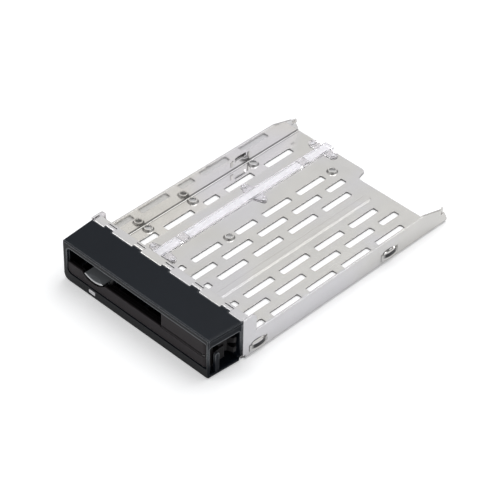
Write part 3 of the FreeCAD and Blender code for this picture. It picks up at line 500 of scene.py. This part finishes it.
@dataclass(frozen=True)
class Folds:
    """Where a folded sheet is bent, so that its rounds get painted shade like a pressed sheet's.

    Attributes:
        floor_top: height of the floor's upper face, which is the sheet's thickness.
        outer_face: how far the walls' outer faces are from the middle.
        bend: inside radius of the folds.
        bead_middle: where the stiffening bead runs.
        bead_half: half of its width, with a little to spare.
        fold_reach: half width of the inner folds' band, in bends.
        foot_reach: how far the outer folds' band goes inwards and upwards, in thicknesses.
        bead_light: least shade on the bead.
        inner_light: least shade on an inner fold, before inner_dim.
        inner_dim: what an inner fold keeps of its shade.
        foot_dim: what the walls' outer lower edges keep of it, a painted shadow at the floor.
        cut_dim: what the cut edges of the floor keep of it.
    """

    floor_top: float
    outer_face: float
    bend: float
    bead_middle: float
    bead_half: float
    fold_reach: float = 0.9
    foot_reach: Range = (0.85, 0.7)
    bead_light: float = 0.97
    inner_light: float = 0.8
    inner_dim: float = 0.52
    foot_dim: float = 0.3
    cut_dim: float = 0.35

    def shade(self, graph: Graph, shade: Socket) -> Socket:
        """Fit the painted shade to the folded sheet.

        The bead stays light, the inner folds get an even painted half shade, and the outer
        folds and the cut edges of the floor are painted dark.

        Args:
            graph: the sheet's graph.
            shade: its shade so far, from 0 to 1.

        Returns:
            The new shade.
        """
        across, _, height = graph.position()
        aside = graph.size_of(across)
        inner_face = self.outer_face - self.floor_top
        bead = graph.product(graph.strip(across, self.bead_middle, self.bead_half),
                             graph.strip(height, self.floor_top, self.floor_top))
        shade = graph.larger(shade, graph.remap(bead, 0.0, self.bead_light, 0.0, 1.0))
        reach = self.bend * self.fold_reach
        inner = graph.product(graph.strip(aside, inner_face - self.bend / 2, reach),
                              graph.strip(height, self.floor_top + self.bend / 2, reach))
        shade = graph.larger(shade, graph.remap(inner, 0.0, self.inner_light, 0.0, 1.0))
        shade = graph.product(shade, graph.remap(inner, 1.0, self.inner_dim, 0.0, 1.0))
        # Painted shadow along the walls' outer feet, where they meet the floor.
        inwards, upwards = (self.floor_top * share for share in self.foot_reach)
        foot = graph.product(graph.strip(aside, self.outer_face, inwards),
                             graph.strip(height, 0.0, upwards))
        shade = graph.product(shade, graph.remap(foot, 1.0, self.foot_dim, 0.0, 1.0))
        cut = graph.sheared_edges(self.floor_top, inner_face - self.bend, self.cut_dim)
        return graph.product(shade, cut)


@dataclass(frozen=True)
class RolledSteel:
    """Zinc-plated steel sheet: faint rolling streaks along Y and a soft cloudy sheen.

    Attributes:
        name: the finish's name.
        colour: its base colour.
        roughness: its mean roughness.
        edge: radius of its softened edges.
        metallic: how much of it is metal rather than its dull plating.
        corner_shade: what a corner keeps of the colour.
        corner_reach: how far from a corner that shade goes.
        cool: colour of its bluish patches, if it has them.
        cool_share: how much of that colour a patch has.
        folds: where it is bent, if it is.
        fold_shade: what a dished rim keeps of the colour, as painted shade.
        cloud_shade: what a cloud keeps of the colour.
        streak_depth: height of the rolling streaks.
        cloud_depth: height of the clouds' slow waves.
        STREAK_CELLS: cells of the streaks' noise per metre on each axis.
        CLOUD_CELLS: those of the clouds' noise.
        COOL_CELLS: those of the bluish patches' noise.
        COOL_RANGE: values of that noise at which a patch begins and is full.
        SPREAD: how far the streaks move the roughness.
    """

    name: str
    colour: Colour
    roughness: float
    edge: float = 0.12 * MM
    metallic: float = 1.0
    corner_shade: float = 0.25
    corner_reach: float = 1.6 * MM
    cool: Colour | None = None
    cool_share: float = 0.8
    folds: Folds | None = None
    fold_shade: float = 0.3
    cloud_shade: float = 0.93
    streak_depth: float = 0.002 * MM
    cloud_depth: float = 0.006 * MM

    STREAK_CELLS = (900, 25, 900)
    CLOUD_CELLS = (60, 60, 60)
    COOL_CELLS = (28, 16, 28)
    COOL_RANGE = (0.45, 0.62)
    SPREAD = (0.8, 1.25)

    def make(self) -> bpy.types.Material:
        """Build the material.

        Returns:
            The material.
        """
        graph = Graph(self.name)
        streaks = graph.noise(self.STREAK_CELLS, detail=3.0)
        clouds = graph.noise(self.CLOUD_CELLS, detail=3.0, distortion=0.4)
        dark = tuple(self.cloud_shade * part for part in self.colour)
        colour = graph.over(graph.remap(clouds, 0.0, 1.0), dark, self.colour)
        if self.cool is not None:
            patches = graph.noise(self.COOL_CELLS, distortion=0.6)
            patches = graph.remap(patches, 0.0, self.cool_share, *self.COOL_RANGE)
            colour = graph.over(patches, colour, self.cool)
        # Painted shade in the base colour: darker in inner corners, and on a folded sheet also on
        # bends, folds and cut edges.
        shade = graph.corners(self.corner_reach, self.corner_shade)
        if self.folds is not None:
            shade = graph.product(shade, graph.bends(self.fold_shade))
            shade = self.folds.shade(graph, shade)
        graph.join(graph.shaded(colour, shade), graph.shader.inputs["Base Color"])
        graph.roughen(streaks, self.roughness, self.SPREAD)
        graph.shader.inputs["Metallic"].default_value = self.metallic
        graph.surface([(streaks, self.streak_depth), (clouds, self.cloud_depth)], self.edge)
        return graph.material


@dataclass(frozen=True)
class ShadePaintedLeaf:
    """Bright spring steel with a painted shade along the top of its bow.

    Attributes:
        name: the finish's name.
        middle: Y of the bow's middle.
        half: half of the leaf's length.
        crest: height of its upper edge.
        full_shade_depth: how far down from there the painted shade is full.
        bright_depth: how far down from there it is bright again.
        bright: colour of the hooked ends and the lower edge.
        painted_shade: colour of the painted shade on the bow's top.
        roughness: its roughness.
        edge: radius of its softened edges.
    """

    name: str
    middle: float
    half: float
    crest: float
    full_shade_depth: float = 2.1 * MM
    bright_depth: float = 2.4 * MM
    bright: Colour = (0.75, 0.74, 0.72)
    painted_shade: Colour = (0.06, 0.06, 0.062)
    roughness: float = 0.3
    edge: float = 0.05 * MM

    def make(self) -> bpy.types.Material:
        """Build the material.

        Returns:
            The material.
        """
        graph = Graph(self.name)
        _, along, height = graph.position()
        # Painted shade: the upper part of the bow is coloured dark, the rest keeps the bright steel
        # colour.
        bow = graph.strip(along, self.middle, self.half / 2, self.half / 4)
        upper = graph.remap(height, 0.0, 1.0, self.crest - self.bright_depth,
                            self.crest - self.full_shade_depth)
        colour = graph.over(graph.product(bow, upper), self.bright, self.painted_shade)
        graph.join(colour, graph.shader.inputs["Base Color"])
        graph.shader.inputs["Metallic"].default_value = 1.0
        graph.shader.inputs["Roughness"].default_value = self.roughness
        graph.surface([], self.edge)
        return graph.material


@dataclass(frozen=True)
class GrainedPlastic:
    """Moulded plastic with a fine spark-eroded grain and softly rounded edges.

    Attributes:
        name: the finish's name.
        colour: its base colour.
        roughness: its mean roughness.
        grain: depth of the grain.
        edge: radius of its softened edges.
        gloss: its specular level.
        index: its index of refraction.
        patch_light: what a faint lighter patch multiplies the colour by.
        edge_highlight: colour of the painted highlight on its outer edges, if it has one.
        edge_band: how far that painted highlight reaches from an edge.
        edges_above: height about which it comes in.
        edges_fade: how far below and above that height it is partly there.
        edges_on_top: how much of it a face that looks up has.
        painted_front_light: colour of the painted light on what looks forwards, if any.
        front_reach: Y up to which that colour goes, if it ends.
        front_fade: over how much it ends.
        inside_shade: what the colour keeps behind front_reach, as painted shade.
        inside_fade: over how much that shade comes in.
        GRAIN_CELLS: cells of the grain's noise per metre on each axis.
        PATCH_CELLS: those of the patches' noise.
        SPREAD: how far the grain moves the roughness.
        FORWARDS: Y parts of the normal that look forwards and that no longer do.
        UPWARDS: Z parts of the normal that don't look up and that do.
    """

    name: str
    colour: Colour
    roughness: float
    grain: float = 0.02 * MM
    edge: float = 0.25 * MM
    gloss: float = 0.12
    index: float = 1.5
    patch_light: float = 1.12
    edge_highlight: Colour | None = None
    edge_band: float = 0.5 * MM
    edges_above: float = 0.0
    edges_fade: float = 4 * MM
    edges_on_top: float = 0.35
    painted_front_light: Colour | None = None
    front_reach: float | None = None
    front_fade: float = 0.2 * MM
    inside_shade: float = 1.0
    inside_fade: float = 0.4 * MM

    GRAIN_CELLS = (3200, 3200, 3200)
    PATCH_CELLS = (45, 45, 45)
    SPREAD = (0.9, 1.1)
    FORWARDS = (-0.95, -0.7)
    UPWARDS = (0.8, 0.95)

    def with_painted_front_light(self, graph: Graph, colour: Socket) -> Socket:
        """Lay the painted light's colour over what looks forwards.

        Args:
            graph: the plastic's graph.
            colour: its colour so far.

        Returns:
            The new colour.
        """
        if self.painted_front_light is None:
            return colour
        # Painted light: faces that look forwards are made lighter.
        forwards = graph.remap(graph.facing()[1], 1.0, 0.0, *self.FORWARDS)
        if self.front_reach is not None:
            near = graph.remap(graph.position()[1], 1.0, 0.0, self.front_reach,
                               self.front_reach + self.front_fade)
            forwards = graph.product(forwards, near)
        return graph.over(forwards, colour, self.painted_front_light)

    def with_inside(self, graph: Graph, colour: Socket) -> Socket:
        """Paint shade on what lies behind the front.

        Args:
            graph: the plastic's graph.
            colour: its colour so far.

        Returns:
            The new colour.
        """
        if self.inside_shade >= 1 or self.front_reach is None:
            return colour
        # Painted shade: darker behind the front.
        inside = graph.remap(graph.position()[1], 1.0, self.inside_shade, self.front_reach,
                             self.front_reach + self.inside_fade)
        return graph.shaded(colour, inside)

    def with_painted_edge_highlight(self, graph: Graph, colour: Socket) -> Socket:
        """Lay the painted highlight's colour over the outer edges.

        Args:
            graph: the plastic's graph.
            colour: its colour so far.

        Returns:
            The new colour.
        """
        if self.edge_highlight is None:
            return colour
        # Painted highlight: outer edges made lighter, mostly high up and less on faces that look up.
        high = graph.remap(graph.position()[2], 0.0, 1.0, self.edges_above - self.edges_fade,
                           self.edges_above + self.edges_fade)
        lit = graph.product(graph.outer_edges(self.edge_band), high)
        on_top = graph.remap(graph.facing()[2], 1.0, self.edges_on_top, *self.UPWARDS)
        return graph.over(graph.product(lit, on_top), colour, self.edge_highlight)

    def make(self) -> bpy.types.Material:
        """Build the material.

        Returns:
            The material.
        """
        graph = Graph(self.name)
        grain = graph.noise(self.GRAIN_CELLS)
        patches = graph.noise(self.PATCH_CELLS)
        light = tuple(self.patch_light * part for part in self.colour)
        colour = graph.over(graph.remap(patches, 0.0, 1.0), self.colour, light)
        for layer in (self.with_painted_front_light, self.with_inside, self.with_painted_edge_highlight):
            colour = layer(graph, colour)
        graph.join(colour, graph.shader.inputs["Base Color"])
        graph.roughen(grain, self.roughness, self.SPREAD)
        graph.shader.inputs["IOR"].default_value = self.index
        graph.shader.inputs["Specular IOR Level"].default_value = self.gloss
        graph.surface([(grain, self.grain)], self.edge)
        return graph.material


@dataclass(frozen=True)
class ClearPlastic:
    """Clear moulded plastic with a slight frost, and milky towards its front end.

    Attributes:
        name: the finish's name.
        colour: its colour.
        roughness: its mean roughness.
        milky_until: Y up to which it is milky.
        milky_fade: over how much it clears before that.
        milky_clearness: share of the light that the milky end lets through.
        clearness: share of the light that the rest lets through.
        index: its index of refraction.
        frost: depth of the frost.
        edge: radius of its softened edges.
        FROST_CELLS: cells of the frost's noise per metre on each axis.
        SPREAD: how far the frost moves the roughness.
    """

    name: str
    colour: Colour
    roughness: float
    milky_until: float = 0.0
    milky_fade: float = 0.5 * MM
    milky_clearness: float = 0.15
    clearness: float = 0.88
    index: float = 1.49
    frost: float = 0.001 * MM
    edge: float = 0.1 * MM

    FROST_CELLS = (400, 120, 400)
    SPREAD = (0.6, 1.4)

    def make(self) -> bpy.types.Material:
        """Build the material.

        Returns:
            The material.
        """
        graph = Graph(self.name)
        frost = graph.noise(self.FROST_CELLS)
        graph.shader.inputs["Base Color"].default_value = (*self.colour, 1.0)
        clear = graph.remap(graph.position()[1], self.milky_clearness, self.clearness,
                            self.milky_until - self.milky_fade, self.milky_until)
        graph.join(clear, graph.shader.inputs["Transmission Weight"])
        graph.shader.inputs["IOR"].default_value = self.index
        graph.roughen(frost, self.roughness, self.SPREAD)
        graph.surface([(frost, self.frost)], self.edge)
        return graph.material


# ------------------------------------------------------------------ sub-assemblies


def dress(node: str, material: bpy.types.Material) -> None:
    """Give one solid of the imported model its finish.

    Args:
        node: the solid's name.
        material: its finish.
    """
    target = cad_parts[node]
    target.data.materials.clear()
    target.data.materials.append(material)
    LOG.info("dressed %s with %s", node, material.name)


@dataclass(frozen=True)
class WireCoil:
    """A spring of round wire about an upright axis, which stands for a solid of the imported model.

    Attributes:
        stands_for: the solid's name.
        mean_radius: how far the wire's middle line is from the axis.
        wire: the wire's radius.
        turns: how often it goes round.
        leg: length of the straight run to the rear at each end.
        sides: corners of the wire's section.
        steps_a_turn: sections along one turn.
    """

    stands_for: str
    mean_radius: float
    wire: float
    turns: float
    leg: float = 0.0
    sides: int = 10
    steps_a_turn: int = 28

    def axis(self) -> tuple[Vector, Vector]:
        """Find the coil's axis, which is as far from the box's front as from its sides.

        Returns:
            Its lower and upper end.
        """
        low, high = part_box(self.stands_for)
        across, along = (low.x + high.x) / 2, low.y + (high.x - low.x) / 2
        return Vector((across, along, low.z)), Vector((across, along, high.z))

    def mesh(self) -> bpy.types.Mesh:
        """Make the wire's mesh.

        The wire's middle line keeps a fixed distance from the axis, turns clockwise seen from
        above and rises evenly with the angle; a leg is a straight run to the rear at each end.
        A ring of points lies round it on the outward and the upward direction, at the wire's
        radius.

        Returns:
            The mesh.
        """
        foot, head = self.axis()
        share = np.linspace(0.0, 1.0, round(self.turns * self.steps_a_turn) + 1)
        angle = -2.0 * np.pi * self.turns * share
        up = np.array([0.0, 0.0, 1.0])
        outward = np.stack([np.cos(angle), np.sin(angle), np.zeros_like(angle)], axis=1)
        rise = head.z - foot.z - 2.0 * self.wire
        start = np.array(foot) + up * self.wire
        line = start + outward * self.mean_radius + share[:, None] * rise * up
        if self.leg > 0:
            rearwards = np.array([[0.0, self.leg, 0.0]])
            line = np.concatenate([line[:1] + rearwards, line, line[-1:] + rearwards])
            outward = np.concatenate([outward[:1], outward, outward[-1:]])
        around = np.linspace(0.0, 2.0 * np.pi, self.sides, endpoint=False)[None, :, None]
        ring = np.cos(around) * outward[:, None, :] + np.sin(around) * up
        points = (line[:, None, :] + self.wire * ring).reshape(-1, 3)
        number = np.arange(len(points)).reshape(len(line), self.sides)
        beside = np.roll(number, -1, axis=1)
        walls = np.stack([number[:-1], beside[:-1], beside[1:], number[1:]], axis=-1).reshape(-1, 4)
        faces = walls.tolist() + [number[0, ::-1].tolist(), number[-1].tolist()]
        mesh = bpy.data.meshes.new(self.stands_for + "_wire")
        mesh.from_pydata(points.tolist(), [], faces)
        mesh.polygons.foreach_set("use_smooth", np.ones(len(faces), dtype=bool))
        return mesh

    def make(self, material: bpy.types.Material) -> bpy.types.Object:
        """Build the coil in place of its solid and dress it.

        Args:
            material: its finish.

        Returns:
            The new piece.
        """
        piece = bpy.data.objects.new(self.stands_for + "_wire", self.mesh())
        bpy.context.scene.collection.objects.link(piece)
        piece.data.materials.append(material)
        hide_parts(self.stands_for)
        LOG.info("wound %s", piece.name)
        return piece


@dataclass
class Tray:
    """The folded sheet with its leaf springs.

    Attributes:
        folds: its thickness, the places of its walls and bead, and its bends.
        sheet: its plating.
    """

    folds: Folds = Folds(floor_top=1.0 * MM, outer_face=53.0 * MM, bend=0.7 * MM,
                         bead_middle=12.81 * MM, bead_half=3.0 * MM)
    sheet: RolledSteel = RolledSteel("rolled_sheet", (0.885, 0.87, 0.842), 0.1, metallic=0.85,
                                     cool=(0.85, 0.84, 0.868))

    def build(self) -> None:
        """Dress the sheet and its springs."""
        dress("tray", replace(self.sheet, folds=self.folds).make())
        for row in Row:
            low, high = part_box(f"guide_spring_{row.value}_left")
            middle, half = (high.y + low.y) / 2, (high.y - low.y) / 2
            leaf = ShadePaintedLeaf("spring_steel_" + row.value, middle, half, high.z).make()
            for side in Side:
                dress(f"guide_spring_{row.value}_{side.value}", leaf)


@dataclass
class Bezel:
    """The moulded housing and what holds it to the tray.

    Attributes:
        shell: the housing's plastic.
        face_reach: how far behind the front the painted light on the front goes.
        screw: the screws' steel.
    """

    # Painted light: a highlight on its upper outer edges, and lighter faces that look forwards.
    shell: GrainedPlastic = GrainedPlastic(
        "housing_plastic", (0.0065, 0.009, 0.0135), 0.38, edge_highlight=(0.2, 0.212, 0.225),
        edge_band=1.7 * MM, edges_above=11 * MM, painted_front_light=(0.028, 0.029, 0.031))
    face_reach: float = 1.0 * MM
    screw: RolledSteel = RolledSteel("screw_steel", (0.55, 0.54, 0.52), 0.3, 0.08 * MM)

    def build(self) -> None:
        """Dress the housing and its screws."""
        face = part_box("bezel_housing")[0].y + self.face_reach
        dress("bezel_housing", replace(self.shell, front_reach=face).make())
        steel = self.screw.make()
        for screw in Screw:
            dress("bezel_screw_" + screw.value, steel)


@dataclass
class Lever:
    """The pull lever with its claw, pin and spring.

    Attributes:
        handle: the lever's plastic.
        face_reach: how far behind its front it keeps its full colour, before the painted shade.
        steel: the steel of the claw and the pin.
        wire_steel: the spring's steel.
        spring: the coil.
    """

    # Painted light and shade: a highlight on its upper outer edges, and shade behind its front.
    handle: GrainedPlastic = GrainedPlastic(
        "lever_plastic", (0.032, 0.028, 0.03), 0.34, edge_highlight=(0.09, 0.085, 0.09),
        inside_shade=0.15)
    face_reach: float = 0.6 * MM
    steel: RolledSteel = RolledSteel("claw_steel", (0.03, 0.029, 0.03), 0.45, 0.15 * MM)
    wire_steel: RolledSteel = RolledSteel("lever_spring_steel", (0.35, 0.345, 0.34), 0.3, 0.0)
    spring: WireCoil = WireCoil("lever_spring", 1.75 * MM, 0.22 * MM, 4.5, 4.4 * MM)

    def build(self) -> None:
        """Dress the lever and its steel pieces, and wind its spring."""
        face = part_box("lever_handle")[0].y + self.face_reach
        dress("lever_handle", replace(self.handle, front_reach=face).make())
        steel = self.steel.make()
        for name in ("lever_claw", "lever_pin"):
            dress(name, steel)
        foot, head = self.spring.axis()
        wire = self.spring.make(self.wire_steel.make())
        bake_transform(wire)


@dataclass
class Button:
    """The release button and its spring.

    Attributes:
        cap: the button's plastic.
        steel: the spring's steel.
        spring: the coil.
    """

    # Painted highlight: the button's faces that look forwards are made much lighter.
    cap: GrainedPlastic = GrainedPlastic("button_plastic", (0.17, 0.18, 0.19), 0.35, 0.008 * MM,
                                         painted_front_light=(0.72, 0.73, 0.74))
    steel: RolledSteel = RolledSteel("button_spring_steel", (0.6, 0.59, 0.57), 0.3, 0.0)
    spring: WireCoil = WireCoil("button_spring", 1.2 * MM, 0.2 * MM, 6.0)

    def build(self) -> None:
        """Dress the button, wind its spring and hold it to the caddy."""
        dress("release_button", self.cap.make())
        wire = self.spring.make(self.steel.make())
        foot, head = self.spring.axis()
        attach(wire, Body.CADDY.value)
        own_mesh(wire)


@dataclass
class LightGuide:
    """The clear bar that carries light to the face.

    Attributes:
        bar: its plastic.
        tip_length: how far behind its front it is milky.
    """

    bar: ClearPlastic = ClearPlastic("guide_plastic", (0.95, 0.94, 0.965), 0.04)
    tip_length: float = 4.0 * MM

    def build(self) -> None:
        """Dress the bar."""
        tip_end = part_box("light_guide")[0].y + self.tip_length
        dress("light_guide", replace(self.bar, milky_until=tip_end).make())


# ------------------------------------------------------------------ studio


@dataclass(frozen=True)
class Lamp:
    """A square soft lamp that points at the caddy.

    Attributes:
        name: its name.
        place: its middle.
        size: its side.
        power: watts.
    """

    name: str
    place: Triple
    size: float
    power: float

    def hang(self) -> None:
        """Hang the lamp in its place."""
        data = bpy.data.lights.new(self.name, "AREA")
        data.shape = "SQUARE"
        data.size = self.size
        data.energy = self.power
        lamp = bpy.data.objects.new(self.name, data)
        lamp.location = self.place
        lamp.rotation_euler = (-Vector(self.place)).to_track_quat("-Z", "Y").to_euler()
        bpy.context.scene.collection.objects.link(lamp)


@dataclass
class Studio:
    """Floor, lamps, world and camera.

    Attributes:
        azimuth: where the camera stands, in degrees from the front towards the right.
        elevation: how high it stands, in degrees.
        roll: how far it is turned about its own axis, in degrees.
        lens: its focal length in millimetres.
        distance: how far it is from what it looks at.
        shift: how far its picture is moved, in widths of the picture.
        clip: nearest and farthest that it sees.
        target: what it looks at, from the middle of the bezel's front.
        floor_half: half of the floor's side.
        floor_drop: how far the floor lies below the caddy, so that the two don't touch.
        floor_tint: its colour.
        floor_roughness: its roughness.
        floor_glow: what it adds to its colour where it is seen.
        sky_seen: strength of the world where it is seen.
        sky_mirrored: strength of its top where it is mirrored.
        horizon_mirrored: strength of its horizon where it is mirrored.
        horizon_reach: rise, as the sine of the elevation, at which its top begins.
        sky_light: strength of its light on what isn't glossy.
        lamps: the lamps.
    """

    azimuth: float = 44.645
    elevation: float = 41.365
    roll: float = 0.735
    lens: float = 156.07
    distance: float = 1.081521
    shift: tuple[float, float] = (0.05469, 0.0414)
    clip: Range = (0.05, 50.0)
    target: Triple = (0.0, 60.0 * MM, 0.0)
    floor_half: float = 6.0
    floor_drop: float = 0.02 * MM
    floor_tint: Colour = (0.86, 0.865, 0.875)
    floor_roughness: float = 0.9
    floor_glow: float = 0.34
    sky_seen: float = 1.0
    sky_mirrored: float = 0.66
    horizon_mirrored: float = 0.2
    horizon_reach: float = 0.45
    sky_light: float = 0.42
    lamps: tuple[Lamp, ...] = (
        Lamp("softbox", (-0.1, 0.65, 1.5), 1.2, 13.0),
        Lamp("fill", (0.9, -1.1, 0.8), 0.9, 0.4),
        Lamp("front_card", (-0.68, -0.86, 0.7), 0.5, 2.5),
        Lamp("rear_card", (0.85, 0.86, 1.06), 1.4, 1.6),
    )

    def camera(self, front: float) -> None:
        """Place the camera.

        Args:
            front: Y of the bezel's face.
        """
        turn, rise, roll = map(math.radians, (self.azimuth, self.elevation, self.roll))
        back = Vector((math.sin(turn) * math.cos(rise), -math.cos(turn) * math.cos(rise),
                       math.sin(rise)))
        right = Vector((math.cos(turn), math.sin(turn), 0.0))
        up = back.cross(right)
        across = math.cos(roll) * right + math.sin(roll) * up
        upright = -math.sin(roll) * right + math.cos(roll) * up
        eye = Vector(self.target) + Vector((0.0, front, 0.0)) + back * self.distance
        matrix = Matrix((across, upright, back)).transposed().to_4x4()
        matrix.translation = eye
        data = bpy.data.cameras.new("camera")
        data.lens = self.lens
        data.shift_x, data.shift_y = self.shift
        data.clip_start, data.clip_end = self.clip
        camera = bpy.data.objects.new("camera", data)
        camera.matrix_world = matrix
        bpy.context.scene.collection.objects.link(camera)
        bpy.context.scene.camera = camera

    def floor(self) -> None:
        """Lay a pale floor that looks white to the camera and keeps the shadow."""
        half = self.floor_half
        corners = [(-half, -half, 0), (half, -half, 0), (half, half, 0), (-half, half, 0)]
        mesh = bpy.data.meshes.new("floor")
        mesh.from_pydata(corners, [], [(0, 1, 2, 3)])
        floor = bpy.data.objects.new("floor", mesh)
        floor.location.z = -self.floor_drop
        bpy.context.scene.collection.objects.link(floor)
        graph = Graph("floor_paper")
        graph.shader.inputs["Base Color"].default_value = (*self.floor_tint, 1.0)
        graph.shader.inputs["Roughness"].default_value = self.floor_roughness
        graph.shader.inputs["Specular IOR Level"].default_value = 0.0
        graph.shader.inputs["Emission Color"].default_value = (1.0, 1.0, 1.0, 1.0)
        strength = add_ray_strength(graph.tree, self.floor_glow, 0.0, 0.0)
        graph.join(strength, graph.shader.inputs["Emission Strength"])
        mesh.materials.append(graph.material)
        floor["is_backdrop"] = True

    def world(self) -> None:
        """Set the world.

        It is white where it is seen, grey where it is mirrored, darker near the horizon, and a
        soft grey light on what isn't glossy.
        """
        world = bpy.data.worlds.new("studio")
        bpy.context.scene.world = world
        world.use_nodes = True
        tree = world.node_tree
        tree.nodes.clear()
        output = tree.nodes.new("ShaderNodeOutputWorld")
        sky = tree.nodes.new("ShaderNodeBackground")
        sky.inputs[0].default_value = (1, 1, 1, 1)
        bright = add_ray_strength(tree, self.sky_seen, self.sky_mirrored, self.sky_light)
        dim = add_ray_strength(tree, self.sky_seen, self.horizon_mirrored, self.sky_light)
        way = tree.nodes.new("ShaderNodeSeparateXYZ")
        tree.links.new(tree.nodes.new("ShaderNodeTexCoord").outputs["Generated"], way.inputs[0])
        rise = tree.nodes.new("ShaderNodeMapRange")
        rise.inputs["From Max"].default_value = self.horizon_reach
        tree.links.new(way.outputs["Z"], rise.inputs["Value"])
        strength = tree.nodes.new("ShaderNodeMix")
        for number, source in zip((FACTOR, *VALUES), (rise.outputs[0], dim, bright)):
            tree.links.new(source, strength.inputs[number])
        tree.links.new(strength.outputs[0], sky.inputs[1])
        tree.links.new(sky.outputs[0], output.inputs[0])

    def build(self, front: float) -> None:
        """Set up everything around the caddy.

        Args:
            front: Y of the bezel's face.
        """
        self.floor()
        self.world()
        for lamp in self.lamps:
            lamp.hang()
        self.camera(front)
        bpy.context.scene.view_settings.view_transform = "Standard"


def main() -> None:
    """Build every sub-assembly, then the studio."""
    logging.basicConfig(level=logging.INFO, format="%(name)s: %(message)s")
    solid_box = [list(corner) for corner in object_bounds()]
    for assembly in (Tray(), Bezel(), Lever(), Button(), LightGuide()):
        assembly.build()
        LOG.info("finished %s", type(assembly).__name__)
    Studio().build(solid_box[0][1])


if __name__ == "__main__":
    main()
